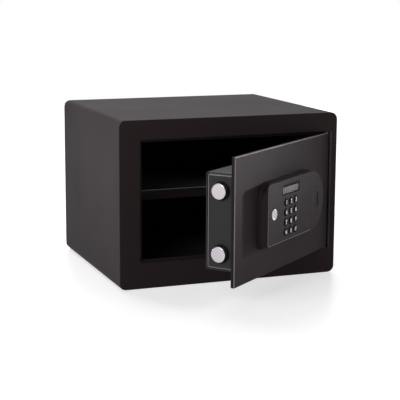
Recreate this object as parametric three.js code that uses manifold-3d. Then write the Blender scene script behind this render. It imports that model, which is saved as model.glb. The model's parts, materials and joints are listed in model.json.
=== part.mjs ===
// Biometric safe with a motor lock, a keypad and a fingerprint reader, door part open.
// Millimetres, +Z up. The origin is the middle of the cabinet's underside and the front faces -Y.
import * as THREE from "three";
import { mergeVertices } from "three/addons/utils/BufferGeometryUtils.js";
import Module from "manifold-3d";

const wasm = await Module();
wasm.setup();

// Cabinet
const CABINET_WIDTH = 350;
const CABINET_HEIGHT = 250;
const CABINET_DEPTH = 300;
const CORNER_RADIUS = 10.5;
const WRAP_SHEET = 2;
const BACK_SHEET = 2.5;
const FRAME_THICKNESS = 6;
const FRAME_EDGE_BEVEL = 1.3;
const FIXING_HOLE_RADIUS = 5;
const FIXING_HOLE_SPACING = 160;
const BASE_HOLE_SETBACK = 120;
const BACK_HOLE_HEIGHT = 190;
const SEAM = 0.2;

// Shared by all pieces: how far a cut runs past a face, and how deep two joined shapes overlap
const PAST = 1;
const OVERLAP = 0.5;
const FIT = 0.3;

// Share of a round edge's radius that its middle stands in from the corner
const ROUND_MIDDLE = 1 - Math.SQRT1_2;

// Door opening in the front frame, and the stop behind it
const OPENING_LEFT_MARGIN = 33.5;
const OPENING_RIGHT_MARGIN = 11.5;
const OPENING_BOTTOM_MARGIN = 39.5;
const OPENING_TOP_MARGIN = 30;
const OPENING_CORNER = 2;
const STOP_THICKNESS = 3;
const STOP_REACH = 3;
const STOP_LAP = 9;
const STOP_HINGE_CLEARANCE = 8;

// Door plate and hinge
const DOOR_THICKNESS = 5.5;
const DOOR_GAP = 1;
const HINGE_GAP = 1.2;
const DOOR_CORNER = 1.2;
const DOOR_EDGE_BEVEL = 0.9;
const PIVOT_TO_JAMB = 5.5;
const PIN_RADIUS = 2;
const PIN_DEPTH = 14;
const PIN_CLEARANCE = 0.3;
const WASHER_THICKNESS = 0.4;
const WASHER_WALL = 0.5;
const DOOR_ANGLE = 39;

// Shelf and mats
const SHELF_TOP = 125;
const SHELF_SETBACK = 118;
const SHELF_SHEET = 1.2;
const SHELF_FLANGE = 15;
const SUPPORT_LEG = 15;
const SUPPORT_SHEET = 1.5;
const MAT_THICKNESS = 3;
const MAT_OVERHANG = 1.5;
const MAT_SIDE_GAP = 1;
const MAT_HOLE_MARGIN = 1;
const SHELF_SIDE_GAP = 0.5;
const SHELF_BACK_GAP = 1;
const SUPPORT_GAP = 1;
const FLOOR_MAT_SIDE_GAP = 0.5;
const FLOOR_MAT_FRONT_GAP = 1;

// Lock box on the back of the door
const BOX_SETBACK = 16;
const BOX_TO_PIVOT = 43;
const BOX_HEIGHT = 135;
const BOX_DROP = 3.75;
const BOX_DEPTH = 47.5;
const BOX_SHEET = 1.5;
const BOX_BEND = 2;
const BOX_FLANGE = 14;
const BOX_OPEN_CORNER = 0.3;
const BOX_CORNER = 1.5;

// Locking bolts, their bushes and the carrier that moves them
const BOLT_RADIUS = 11;
const BOLT_LENGTH = 52;
const BOLT_PROTRUSION = 9;
const BOLT_SPACING = 87;
const BOLT_BEVEL = 1.3;
const BOLT_THROW = 20;
const SPIGOT_RADIUS = 5;
const SPIGOT_LENGTH = 6;
const BUSH_CLEARANCE = 0.4;
const BUSH_WALL = 1.8;
const BUSH_FLANGE = 2;
const BUSH_LENGTH = 7;
const WEB_THICKNESS = 3;
const WEB_WIDTH = 22;
const WEB_OVERLAP = 4;
const TONGUE_DEPTH = 16.5;
const TONGUE_THICKNESS = 2;
const TONGUE_HEIGHT = 14;
const TONGUE_DROP = 28;
const TONGUE_SPARE = 2;

// Rack, pinion and gear motor
const GEAR_MODULE = 1;
const PINION_TEETH = 12;
const GEAR_ADDENDUM = 0.6;
const GEAR_DEDENDUM = 0.9;
const TOOTH_TIP = 0.75;
const TOOTH_ROOT = 1.7;
const RACK_THICKNESS = 4.8;
const RACK_HEIGHT = 7;
const RACK_SPARE = 8;
const RACK_GAP = 0.4;
const RACK_DROP = 3;
const PINION_SETBACK = 0.2;
const BRACKET_SHEET = 2;
const BRACKET_MARGIN = 1;
const BRACKET_OVERLAP = 4;
const BRACKET_DROP = 2;
const BRACKET_RISE = 4;
const GEARBOX_WIDTH = 26;
const GEARBOX_HEIGHT = 30;
const GEARBOX_TO_COVER = 1.7;
const MOTOR_RADIUS = 8.5;
const MOTOR_LENGTH = 30;
const MOTOR_BOSS_RADIUS = 3;
const MOTOR_BOSS = 2;
const SHAFT_RADIUS = 2;
const SHAFT_DEPTH = 8;
const SHAFT_CLEARANCE = 1;
const PINION_TO_WEB = 60;

// Override key lock
const CYLINDER_RADIUS = 8.5;
const CYLINDER_FLANGE_RADIUS = 11;
const CYLINDER_FLANGE = 2;
const PLUG_RADIUS = 5.5;
const KEYWAY_WIDTH = 1.6;
const KEYWAY_HEIGHT = 7;
const KEYWAY_DEPTH = 18;
const CAM_REACH = 18;
const CAM_WIDTH = 9;
const CAM_THICKNESS = 2;
const CAM_TIP_FLAT = 0.2;
const CAM_STUB_RADIUS = 3.5;
const CAM_STUB_PROUD = 0.5;
const CYLINDER_TO_CAM = 0.8;

// Battery case and reset button
const CELL_RADIUS = 7.1;
const CELL_LENGTH = 49;
const CELL_NUB = 1.4;
const CELL_NUB_RADIUS = 2.8;
const CELL_PITCH = 15;
const CELL_COUNT = 4;
const CASE_WALL = 1.5;
const CASE_CENTRE_FROM_RIGHT = 54;
const CASE_RISE = 8;
const LID_THICKNESS = 2;
const LID_LAP = 3;
const LID_RIM = 1.2;
const LID_CORNER = 3;
const LID_EDGE = 0.6;
const LID_RIM_CORNER = 1;
const RESET_RADIUS = 3.8;
const RESET_STEM_RADIUS = 2.6;
const RESET_PROUD = 1;
const RESET_EDGE = 0.5;
const RESET_TRAVEL = 1.5;
const RESET_SINK = 1.1;
const RESET_STEM = 4;
const RESET_FROM_RIGHT = 95;
const RESET_RISE = 39;
const SWITCH_WIDTH = 13;
const SWITCH_DEPTH = 9;

// Screws, post, board and cable inside the door
const SCREW_HEAD_RADIUS = 3.5;
const SCREW_HEAD_HEIGHT = 1.6;
const SCREW_HEAD_EDGE = 0.8;
const SCREW_TOP_RADIUS = 2.1;
const SCREW_SLOT_WIDTH = 0.8;
const SCREW_SLOT_DEPTH = 0.9;
const SCREW_RADIUS = 1.7;
const SCREW_LENGTH = 8;
const SCREW_EDGE = 7.5;
const POST_RADIUS = 4;
const POST_CLEARANCE = 2;
const BOARD_THICKNESS = 1.6;
const BOARD_STANDOFF = 2.7;
const BOARD_WIDTH = 70;
const BOARD_HEIGHT = 32;
const BOARD_MARGIN = 5;
const BOARD_FOOT_RADIUS = 2.5;
const BOARD_FOOT_INSET = 4;
const CHIP_WIDTH = 12;
const CHIP_HEIGHT = 2;
const SOCKET_WIDTH = 16;
const SOCKET_HEIGHT = 7;
const SOCKET_DEPTH = 7;
const SOCKET_FROM_MIDDLE = 22;
const SOCKET_DROP = 7.5;
const BUZZER_RADIUS = 4;
const BUZZER_DEPTH = 10;
const BUZZER_RISE = 5;
const CABLE_RADIUS = 2.2;
const CABLE_FROM_KEYS = 22;
const CABLE_DROP = 19;
const CABLE_HOLE_CLEARANCE = 1.5;
const CABLE_END_INSET = 8;

// Control housing on the front of the door, with x and z measured from the keypad's middle
const PANEL_X = -0.6;
const PANEL_Z = 129;
const HOUSING_LEFT = 75.5;
const HOUSING_RIGHT = 115.6;
const HOUSING_UP = 45;
const HOUSING_DOWN = 49;
const HOUSING_DEPTH = 15;
const HOUSING_STEP = 6;
const HOUSING_STEP_INSET = 0.7;
const HOUSING_STEP_END_INSET = 1;
const HOUSING_FACE_INSET = 5.4;
const HOUSING_END_INSET = 4;
const HOUSING_TOP_SHARE = 0.15;
const FACE_EDGE = 0.5;
const HOUSING_WALL = 2.2;
const FACE_WALL = 2.4;

// Corner radii of the housing: upper left, both right, lower left
const FOOT_CORNERS = [26, 45, 12];
const FACE_CORNERS = [4, 42, 4];
const BOSS_RADIUS = 3;
const BOSS_INSET = 4;

// Display, keys, key cover and fingerprint reader
const DISPLAY_WIDTH = 55;
const DISPLAY_HEIGHT = 14.4;
const DISPLAY_RISE = 29.4;
const DISPLAY_LEDGE = 1.8;
const WINDOW_THICKNESS = 0.9;
const WINDOW_RECESS = 0.4;
const MODULE_MARGIN = 1;
const KEY_RADIUS = 5.4;
const KEY_FLANGE_RADIUS = 6.4;
const KEY_FLANGE = 1.2;
const KEY_PROUD = 1;
const KEY_DOME = 0.6;
const KEY_CROWN_EDGE = 1.1;
const KEY_CROWN_DROP = 0.12;
const KEY_CLEARANCE = 0.4;
const KEY_TRAVEL = 0.8;
const KEY_COLUMN_PITCH = 15.3;
const KEY_ROW_PITCH = 14.35;
const KEY_TOP_RISE = 11.6;
const KEY_BOARD_MARGIN = 21.7;
const KEY_BOARD_FOOT = 9;
const KEY_BOARD_HEAD = 4;
const COVER_RADIUS = 8;
const COVER_GAP = 1.1;
const COVER_THICKNESS = 1.5;
const COVER_RECESS = 1.2;
const COVER_EDGE = 0.5;
const PLUG_CLEARANCE = 0.5;
const COVER_FROM_KEYS = 52.2;
const READER_WIDTH = 17;
const READER_HEIGHT = 20;
const READER_FROM_KEYS = 84.6;
const READER_RECESS = 0.6;
const READER_FLANGE = 2.4;
const READER_LIP = 2;
const READER_CORNER = 1.7;

// Places that follow from the sizes
const front = -CABINET_DEPTH / 2;
const back = CABINET_DEPTH / 2;
const frameBack = front + FRAME_THICKNESS;
const side = CABINET_WIDTH / 2;
const openingLeft = -side + OPENING_LEFT_MARGIN;
const openingRight = side - OPENING_RIGHT_MARGIN;
const openingBottom = OPENING_BOTTOM_MARGIN;
const openingTop = CABINET_HEIGHT - OPENING_TOP_MARGIN;
const inside = side - WRAP_SHEET;
const shelfFront = front + SHELF_SETBACK;
const shelfBack = back - BACK_SHEET - SHELF_BACK_GAP;

const plateLeft = openingLeft + DOOR_GAP;
const plateRight = openingRight - HINGE_GAP;
const plateBottom = openingBottom + DOOR_GAP;
const plateTop = openingTop - DOOR_GAP;
const plateBack = front + DOOR_THICKNESS;
const pivotX = openingRight - PIVOT_TO_JAMB;
const pivotY = front + DOOR_THICKNESS / 2;

const boxLeft = plateLeft + BOX_SETBACK;
const boxRight = pivotX - BOX_TO_PIVOT;
const boxMiddle = (plateBottom + plateTop) / 2 - BOX_DROP;
const boxBottom = boxMiddle - BOX_HEIGHT / 2;
const boxTop = boxMiddle + BOX_HEIGHT / 2;
const boxBack = plateBack + BOX_DEPTH;
const boxInside = boxBack - BOX_SHEET;
const boxFoot = plateBack + FIT;

const boltY = plateBack + BOX_DEPTH / 2;
const boltHeights = [boxMiddle + BOLT_SPACING / 2, boxMiddle - BOLT_SPACING / 2];
const boltTip = boxLeft - BOLT_PROTRUSION;
const boltRear = boltTip + BOLT_LENGTH;
const webX = boltRear + FIT;

const tongueY = plateBack + TONGUE_DEPTH;
const tongueTop = boxMiddle - TONGUE_DROP + TONGUE_HEIGHT;
const tongueBottom = boxMiddle - TONGUE_DROP;
const rackY = tongueY + TONGUE_THICKNESS + FIT;
const rackBack = rackY + RACK_THICKNESS;
const pitchRadius = (GEAR_MODULE * PINION_TEETH) / 2;
const toothPitch = Math.PI * GEAR_MODULE;
const rackRoot = tongueBottom - RACK_DROP;
const pitchLine = rackRoot - GEAR_DEDENDUM;
const pinionX = webX + PINION_TO_WEB;
const pinionZ = pitchLine - pitchRadius;
const rackStart = pinionX - RACK_SPARE;
const rackEnd = pinionX + RACK_SPARE + BOLT_THROW;
const bracketY = rackBack + RACK_GAP;
const gearboxY = bracketY + BRACKET_SHEET + FIT;
const gearboxBack = boxInside - GEARBOX_TO_COVER;
const gearboxLeft = pinionX - GEARBOX_WIDTH / 2;
const gearboxRight = pinionX + GEARBOX_WIDTH / 2;
const gearboxBottom = pinionZ - GEARBOX_HEIGHT / 2;

const keypadX = PANEL_X;
const housingBack = front - FIT;
const faceY = housingBack - HOUSING_DEPTH;
const faceInside = faceY + FACE_WALL;
const housingLeft = keypadX - HOUSING_LEFT;
const housingRight = keypadX + HOUSING_RIGHT;
const housingBottom = PANEL_Z - HOUSING_DOWN;
const housingTop = PANEL_Z + HOUSING_UP;
const keyFlangeY = faceInside + FIT;
const keyBackY = keyFlangeY + KEY_FLANGE;
const boardY = keyBackY + KEY_TRAVEL + KEY_CLEARANCE;
const boardBack = boardY + BOARD_THICKNESS;
const displayZ = PANEL_Z + DISPLAY_RISE;
const coverX = keypadX - COVER_FROM_KEYS;
const readerX = keypadX + READER_FROM_KEYS;
const keyTopZ = PANEL_Z + KEY_TOP_RISE;
const keyboardHalf = KEY_COLUMN_PITCH + KEY_BOARD_MARGIN;
const keyboardLow = keyTopZ - 3 * KEY_ROW_PITCH - KEY_BOARD_FOOT;
const keyboardHigh = displayZ + DISPLAY_HEIGHT / 2 + KEY_BOARD_HEAD;
const bossHeights = [keyboardLow + BOSS_INSET, keyboardHigh - 2 * BOSS_INSET];
const bossReach = keyboardHalf - BOSS_INSET;
const bosses = [-1, 1].flatMap((hand) => bossHeights.map((z) => [keypadX + hand * bossReach, z]));

// Keys in three columns and four rows
const KEY_NAMES = ["1", "2", "3", "4", "5", "6", "7", "8", "9", "star", "0", "hash"];
const keys = KEY_NAMES.map((name, place) => ({
  name: `key_${name}`,
  x: keypadX + ((place % 3) - 1) * KEY_COLUMN_PITCH,
  z: keyTopZ - Math.floor(place / 3) * KEY_ROW_PITCH,
}));

const cylinderFront = faceInside + FIT;
const camY = bracketY - CAM_THICKNESS;
const cylinderBack = camY - CYLINDER_TO_CAM;

const caseX = boxRight - CASE_CENTRE_FROM_RIGHT;
const caseZ = boxMiddle + CASE_RISE;
const caseWidth = CELL_PITCH * CELL_COUNT + 2 * FIT;
const caseHeight = CELL_LENGTH + CELL_NUB + 4 * FIT;
const caseBack = boxInside - FIT;
const caseFloor = caseBack - 2 * CELL_RADIUS - 2 * FIT;
const resetX = boxRight - RESET_FROM_RIGHT;
const resetZ = boxMiddle + RESET_RISE;
const resetCapBase = boxInside - RESET_SINK;
const resetStemEnd = resetCapBase - RESET_STEM;
const sideScrewX = boxLeft + SCREW_EDGE;
const sideScrews = [boxTop - SCREW_EDGE, boxBottom + SCREW_EDGE];
const postX = boxRight - BOX_SHEET - POST_RADIUS - POST_CLEARANCE;
const controlBoardX = caseX;
const controlBoardZ = boxBottom + BOX_SHEET + BOARD_HEIGHT / 2 + BOARD_MARGIN;
const controlBoardY = boxFoot + BOARD_STANDOFF;
const cableX = keypadX + CABLE_FROM_KEYS;
const cableZ = PANEL_Z - CABLE_DROP;

// Solids and geometry
function mergedIndex(geometry) {
  const bare = geometry.clone();
  bare.deleteAttribute("normal");
  bare.deleteAttribute("uv");
  return mergeVertices(bare, 1e-4);
}

function toSolid(geometry) {
  const merged = mergedIndex(geometry);
  const mesh = new wasm.Mesh({
    numProp: 3,
    vertProperties: new Float32Array(merged.attributes.position.array),
    triVerts: new Uint32Array(merged.index.array),
  });
  return new wasm.Manifold(mesh);
}

function toGeometry(solid) {
  const mesh = solid.getMesh();
  const geometry = new THREE.BufferGeometry();
  geometry.setAttribute("position", new THREE.BufferAttribute(new Float32Array(mesh.vertProperties), 3));
  geometry.setIndex(new THREE.BufferAttribute(new Uint32Array(mesh.triVerts), 1));
  geometry.computeVertexNormals();
  return geometry;
}

function cut(base, ...tools) {
  return toGeometry(tools.reduce((rest, tool) => rest.subtract(toSolid(tool)), toSolid(base)));
}

function join(base, ...others) {
  return toGeometry(others.reduce((whole, other) => whole.add(toSolid(other)), toSolid(base)));
}

// Turns the faces round where they point inwards
function facingOut(geometry) {
  const merged = mergedIndex(geometry);
  const places = merged.attributes.position;
  const index = merged.index.array;
  const corners = [new THREE.Vector3(), new THREE.Vector3(), new THREE.Vector3()];
  let volume = 0;
  for (let start = 0; start < index.length; start += 3) {
    corners.forEach((corner, step) => corner.fromBufferAttribute(places, index[start + step]));
    volume += corners[0].dot(corners[1].clone().cross(corners[2]));
  }
  if (volume < 0) {
    for (let start = 0; start < index.length; start += 3) {
      [index[start], index[start + 1]] = [index[start + 1], index[start]];
    }
  }
  merged.computeVertexNormals();
  return merged;
}

// Shapes placed by their limits
function block(x0, x1, y0, y1, z0, z1) {
  const geometry = new THREE.BoxGeometry(x1 - x0, y1 - y0, z1 - z0);
  geometry.translate((x0 + x1) / 2, (y0 + y1) / 2, (z0 + z1) / 2);
  return geometry;
}

function rodAlongX(radius, x0, x1, y, z, sides = 32) {
  const geometry = new THREE.CylinderGeometry(radius, radius, x1 - x0, sides);
  geometry.rotateZ(Math.PI / 2);
  geometry.translate((x0 + x1) / 2, y, z);
  return geometry;
}

function rodAlongY(radius, x, y0, y1, z, sides = 32) {
  const geometry = new THREE.CylinderGeometry(radius, radius, y1 - y0, sides);
  geometry.translate(x, (y0 + y1) / 2, z);
  return geometry;
}

function rodAlongZ(radius, x, y, z0, z1, sides = 32) {
  const geometry = new THREE.CylinderGeometry(radius, radius, z1 - z0, sides);
  geometry.rotateX(Math.PI / 2);
  geometry.translate(x, y, (z0 + z1) / 2);
  return geometry;
}

// Turned pieces: a profile of [radius, place along the axis], from axis to axis
function turnedAlongY(profile, x, z, sides = 32) {
  const points = profile.map(([radius, y]) => new THREE.Vector2(radius, y));
  const geometry = new THREE.LatheGeometry(points, sides);
  geometry.translate(x, 0, z);
  return facingOut(geometry);
}

function turnedAlongX(profile, y, z, sides = 32) {
  const points = profile.map(([radius, x]) => new THREE.Vector2(radius, -x));
  const geometry = new THREE.LatheGeometry(points, sides);
  geometry.rotateZ(Math.PI / 2);
  geometry.translate(0, y, z);
  return facingOut(geometry);
}

// Outline with round corners, in x and z
function roundedOutline(x0, x1, z0, z1, leftRadius, rightRadius = leftRadius, lowLeftRadius = leftRadius) {
  const shape = new THREE.Shape();
  const quarter = Math.PI / 2;
  shape.absarc(x1 - rightRadius, z0 + rightRadius, rightRadius, -quarter, 0, false);
  shape.absarc(x1 - rightRadius, z1 - rightRadius, rightRadius, 0, quarter, false);
  shape.absarc(x0 + leftRadius, z1 - leftRadius, leftRadius, quarter, 2 * quarter, false);
  shape.absarc(x0 + lowLeftRadius, z0 + lowLeftRadius, lowLeftRadius, 2 * quarter, 3 * quarter, false);
  shape.closePath();
  return shape;
}

// Flat piece parallel to the front: the shape's x and y become x and z
function panel(shape, y0, y1, segments = 4) {
  const geometry = new THREE.ExtrudeGeometry(shape, {
    depth: y1 - y0,
    bevelEnabled: false,
    curveSegments: segments,
  });
  geometry.rotateX(Math.PI / 2);
  geometry.translate(0, y1, 0);
  return geometry;
}

// Solid through outlines of one kind, each given with its y
function lofted(sections, segments = 4) {
  const cornerPoints = 2 * segments + 1;
  const rings = sections.map(([shape, y]) =>
    shape.getPoints(segments).slice(0, 4 * cornerPoints).map((point) => [point.x, y, point.y]));
  const count = rings[0].length;
  const places = rings.flat(2);
  const index = [];
  for (let ring = 0; ring + 1 < rings.length; ring += 1) {
    for (let step = 0; step < count; step += 1) {
      const next = (step + 1) % count;
      const here = ring * count;
      const there = here + count;
      index.push(here + step, here + next, there + next, here + step, there + next, there + step);
    }
  }
  const last = (rings.length - 1) * count;
  for (let step = 1; step + 1 < count; step += 1) {
    index.push(0, step + 1, step, last, last + step, last + step + 1);
  }
  const geometry = new THREE.BufferGeometry();
  geometry.setAttribute("position", new THREE.Float32BufferAttribute(places, 3));
  geometry.setIndex(index);
  return facingOut(geometry);
}

// Cabinet
function cabinetOutline(inset) {
  return roundedOutline(-side + inset, side - inset, inset, CABINET_HEIGHT - inset, CORNER_RADIUS - inset);
}

function fixingHoles(make) {
  return [-FIXING_HOLE_SPACING / 2, FIXING_HOLE_SPACING / 2].map(make);
}

function bodyShell() {
  const tube = cut(
    panel(cabinetOutline(0), frameBack, back),
    panel(cabinetOutline(WRAP_SHEET), frameBack - PAST, back + PAST),
  );
  const holeY = front + BASE_HOLE_SETBACK;
  const hole = (x) => rodAlongZ(FIXING_HOLE_RADIUS, x, holeY, -PAST, WRAP_SHEET + PAST, 20);
  return cut(tube, ...fixingHoles(hole));
}

function frontFrame() {
  const plate = lofted([
    [cabinetOutline(FRAME_EDGE_BEVEL), front],
    [cabinetOutline(FRAME_EDGE_BEVEL * ROUND_MIDDLE), front + FRAME_EDGE_BEVEL * ROUND_MIDDLE],
    [cabinetOutline(0), front + FRAME_EDGE_BEVEL],
    [cabinetOutline(0), frameBack],
  ]);
  const opening = roundedOutline(openingLeft, openingRight, openingBottom, openingTop, OPENING_CORNER);
  const pinHole = PIN_RADIUS + PIN_CLEARANCE;
  return cut(
    plate,
    panel(opening, front - PAST, frameBack + PAST),
    rodAlongZ(pinHole, pivotX, pivotY, openingBottom - PIN_DEPTH, openingBottom + PAST, 16),
    rodAlongZ(pinHole, pivotX, pivotY, openingTop - PAST, openingTop + PIN_DEPTH, 16),
  );
}

function backPanel() {
  const panelFront = back - BACK_SHEET;
  const plate = panel(cabinetOutline(WRAP_SHEET + SEAM), panelFront, back);
  const hole = (x) => rodAlongY(FIXING_HOLE_RADIUS, x, panelFront - PAST, back + PAST, BACK_HOLE_HEIGHT, 20);
  return cut(plate, ...fixingHoles(hole));
}

// Strip behind the frame that the closed door rests against, open at the hinge
function doorStop() {
  const y1 = frameBack + STOP_THICKNESS;
  const end = pivotX - STOP_HINGE_CLEARANCE;
  const outerLeft = openingLeft - STOP_LAP;
  const innerLeft = openingLeft + STOP_REACH;
  const outerTop = openingTop + STOP_LAP;
  const outerBottom = openingBottom - STOP_LAP;
  return join(
    block(outerLeft, innerLeft, frameBack, y1, outerBottom, outerTop),
    block(outerLeft, end, frameBack, y1, openingTop - STOP_REACH, outerTop),
    block(outerLeft, end, frameBack, y1, outerBottom, openingBottom + STOP_REACH),
  );
}

function hingeWasher() {
  const inner = PIN_RADIUS + PIN_CLEARANCE;
  const low = openingBottom + (DOOR_GAP - WASHER_THICKNESS) / 2;
  return cut(
    rodAlongZ(inner + WASHER_WALL, pivotX, pivotY, low, low + WASHER_THICKNESS, 24),
    rodAlongZ(inner, pivotX, pivotY, low - PAST, low + WASHER_THICKNESS + PAST, 16),
  );
}

function shelf() {
  const under = SHELF_TOP - SHELF_SHEET;
  const low = SHELF_TOP - SHELF_FLANGE;
  const half = inside - SHELF_SIDE_GAP;
  return join(
    block(-half, half, shelfFront, shelfBack, under, SHELF_TOP),
    block(-half, half, shelfFront, shelfFront + SHELF_SHEET, low, SHELF_TOP),
    block(-half, half, shelfBack - SHELF_SHEET, shelfBack, low, SHELF_TOP),
  );
}

function shelfMat() {
  const half = inside - MAT_SIDE_GAP;
  return block(-half, half, shelfFront - MAT_OVERHANG, shelfBack, SHELF_TOP, SHELF_TOP + MAT_THICKNESS);
}

function shelfSupport(hand) {
  const wall = hand * inside;
  const top = SHELF_TOP - SHELF_SHEET;
  const y0 = shelfFront + SHELF_SHEET + SUPPORT_GAP;
  const y1 = shelfBack - SHELF_SHEET - SUPPORT_GAP;
  const limits = (a, b) => [Math.min(a, b), Math.max(a, b)];
  return join(
    block(...limits(wall, wall - hand * SUPPORT_SHEET), y0, y1, top - SUPPORT_LEG, top),
    block(...limits(wall, wall - hand * SUPPORT_LEG), y0, y1, top - SUPPORT_SHEET, top),
  );
}

function floorMat() {
  const edge = side - CORNER_RADIUS - FLOOR_MAT_SIDE_GAP;
  const top = WRAP_SHEET + MAT_THICKNESS;
  const matFront = frameBack + STOP_THICKNESS + FLOOR_MAT_FRONT_GAP;
  const mat = block(-edge, edge, matFront, shelfBack, WRAP_SHEET, top);
  const holeY = front + BASE_HOLE_SETBACK;
  const hole = (x) => rodAlongZ(FIXING_HOLE_RADIUS + MAT_HOLE_MARGIN, x, holeY, 0, top + PAST, 20);
  return cut(mat, ...fixingHoles(hole));
}

// Door plate and its pins
function doorPlate() {
  const outline = (inset) => roundedOutline(
    plateLeft + inset, plateRight - inset, plateBottom + inset, plateTop - inset, DOOR_CORNER);
  const plate = lofted([
    [outline(DOOR_EDGE_BEVEL), front],
    [outline(0), front + DOOR_EDGE_BEVEL],
    [outline(0), plateBack],
  ], 2);
  const pinHole = PIN_RADIUS + PIN_CLEARANCE;
  return cut(
    plate,
    rodAlongZ(pinHole, pivotX, pivotY, plateBottom - PAST, plateBottom + PIN_DEPTH, 16),
    rodAlongZ(pinHole, pivotX, pivotY, plateTop - PIN_DEPTH, plateTop + PAST, 16),
    rodAlongY(CYLINDER_RADIUS + FIT, coverX, front - PAST, plateBack + PAST, PANEL_Z, 32),
    rodAlongY(CABLE_RADIUS + CABLE_HOLE_CLEARANCE, cableX, front - PAST, plateBack + PAST, cableZ, 20),
  );
}

function hingePin(edge, way) {
  const inDoor = edge - way * (PIN_DEPTH - FIT);
  const inFrame = edge + way * (DOOR_GAP + PIN_DEPTH - FIT);
  return rodAlongZ(PIN_RADIUS, pivotX, pivotY, Math.min(inDoor, inFrame), Math.max(inDoor, inFrame), 16);
}

// Side of the lock box that the bolts come through, folded at three edges
function lockBoxSide() {
  const low = boxBottom + BOX_SHEET + FIT;
  const high = boxTop - BOX_SHEET - FIT;
  const rear = boxInside - FIT;
  const end = boxLeft + BOX_FLANGE;
  const tray = join(
    block(boxLeft, boxLeft + BOX_SHEET, boxFoot, rear, low, high),
    block(boxLeft, end, rear - BOX_SHEET, rear, low, high),
    block(boxLeft, end, boxFoot, rear, low, low + BOX_SHEET),
    block(boxLeft, end, boxFoot, rear, high - BOX_SHEET, high),
  );
  const bushRadius = BOLT_RADIUS + BUSH_CLEARANCE + BUSH_WALL + FIT;
  const bushHole = (z) => rodAlongX(bushRadius, boxLeft - PAST, boxLeft + BOX_SHEET + PAST, boltY, z);
  const screwHole = (z) =>
    rodAlongY(SCREW_RADIUS + FIT, sideScrewX, rear - BOX_SHEET - PAST, rear + PAST, z, 16);
  return cut(tray, ...boltHeights.map(bushHole), ...sideScrews.map(screwHole));
}

function lockBoxCover() {
  const outline = (inset) => roundedOutline(
    boxLeft, boxRight - inset, boxBottom + inset, boxTop - inset, BOX_OPEN_CORNER, BOX_CORNER);
  const outer = lofted([
    [outline(0), boxFoot],
    [outline(0), boxBack - BOX_BEND],
    [outline(BOX_BEND * ROUND_MIDDLE), boxBack - BOX_BEND * ROUND_MIDDLE],
    [outline(BOX_BEND), boxBack],
  ], 2);
  const cavity = block(boxLeft - PAST, boxRight - BOX_SHEET, boxFoot - PAST, boxInside,
    boxBottom + BOX_SHEET, boxTop - BOX_SHEET);
  const screwHole = (x, z) => rodAlongY(SCREW_RADIUS + FIT, x, boxInside - PAST, boxBack + PAST, z, 16);
  return cut(
    outer,
    cavity,
    block(caseX - caseWidth / 2, caseX + caseWidth / 2, boxInside - PAST, boxBack + PAST,
      caseZ - caseHeight / 2, caseZ + caseHeight / 2),
    rodAlongY(RESET_RADIUS + KEY_CLEARANCE, resetX, boxInside - PAST, boxBack + PAST, resetZ, 24),
    ...sideScrews.map((z) => screwHole(sideScrewX, z)),
    screwHole(postX, boxMiddle),
  );
}

function coverPost() {
  const top = boxInside - FIT;
  return cut(
    rodAlongY(POST_RADIUS, postX, boxFoot, top, boxMiddle, 6),
    rodAlongY(SCREW_RADIUS + FIT, postX, top - SCREW_LENGTH, top + PAST, boxMiddle, 16),
  );
}

function coverScrew(x, z) {
  const seat = boxBack + FIT;
  const head = seat + SCREW_HEAD_HEIGHT;
  const screw = turnedAlongY([
    [0, seat - SCREW_LENGTH],
    [SCREW_RADIUS, seat - SCREW_LENGTH],
    [SCREW_RADIUS, seat],
    [SCREW_HEAD_RADIUS, seat],
    [SCREW_HEAD_RADIUS, head - SCREW_HEAD_EDGE],
    [SCREW_TOP_RADIUS, head],
    [0, head],
  ], x, z, 20);
  const long = SCREW_TOP_RADIUS;
  const short = SCREW_SLOT_WIDTH / 2;
  const floor = head - SCREW_SLOT_DEPTH;
  return cut(
    screw,
    block(x - long, x + long, floor, head + PAST, z - short, z + short),
    block(x - short, x + short, floor, head + PAST, z - long, z + long),
  );
}

function boltBush(z) {
  const bore = BOLT_RADIUS + BUSH_CLEARANCE;
  const outer = bore + BUSH_WALL;
  const flangeX = boxLeft + BOX_SHEET + FIT;
  return cut(
    turnedAlongX([
      [0, boxLeft],
      [outer, boxLeft],
      [outer, flangeX],
      [outer + BUSH_FLANGE, flangeX],
      [outer + BUSH_FLANGE, flangeX + BUSH_FLANGE],
      [outer, flangeX + BUSH_FLANGE],
      [outer, boxLeft + BUSH_LENGTH],
      [0, boxLeft + BUSH_LENGTH],
    ], boltY, z, 24),
    rodAlongX(bore, boxLeft - PAST, boxLeft + BUSH_LENGTH + PAST, boltY, z, 24),
  );
}

// Bolts and carrier
function lockingBolt(z) {
  return turnedAlongX([
    [0, boltTip],
    [BOLT_RADIUS - BOLT_BEVEL, boltTip],
    [BOLT_RADIUS - BOLT_BEVEL * ROUND_MIDDLE, boltTip + BOLT_BEVEL * ROUND_MIDDLE],
    [BOLT_RADIUS, boltTip + BOLT_BEVEL],
    [BOLT_RADIUS, boltRear],
    [SPIGOT_RADIUS, boltRear],
    [SPIGOT_RADIUS, boltRear + SPIGOT_LENGTH],
    [0, boltRear + SPIGOT_LENGTH],
  ], boltY, z, 36);
}

function boltCarrier() {
  const reach = BOLT_RADIUS + WEB_OVERLAP;
  const half = WEB_WIDTH / 2;
  const [upper, lower] = boltHeights;
  const bar = join(
    block(webX, webX + WEB_THICKNESS, boltY - half, boltY + half, lower - reach, upper + reach),
    block(webX, rackEnd + TONGUE_SPARE, tongueY, tongueY + TONGUE_THICKNESS, tongueBottom, tongueTop),
  );
  const hole = (z) => rodAlongX(SPIGOT_RADIUS + FIT, webX - PAST, webX + WEB_THICKNESS + PAST, boltY, z, 24);
  return cut(bar, ...boltHeights.map(hole));
}

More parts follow.
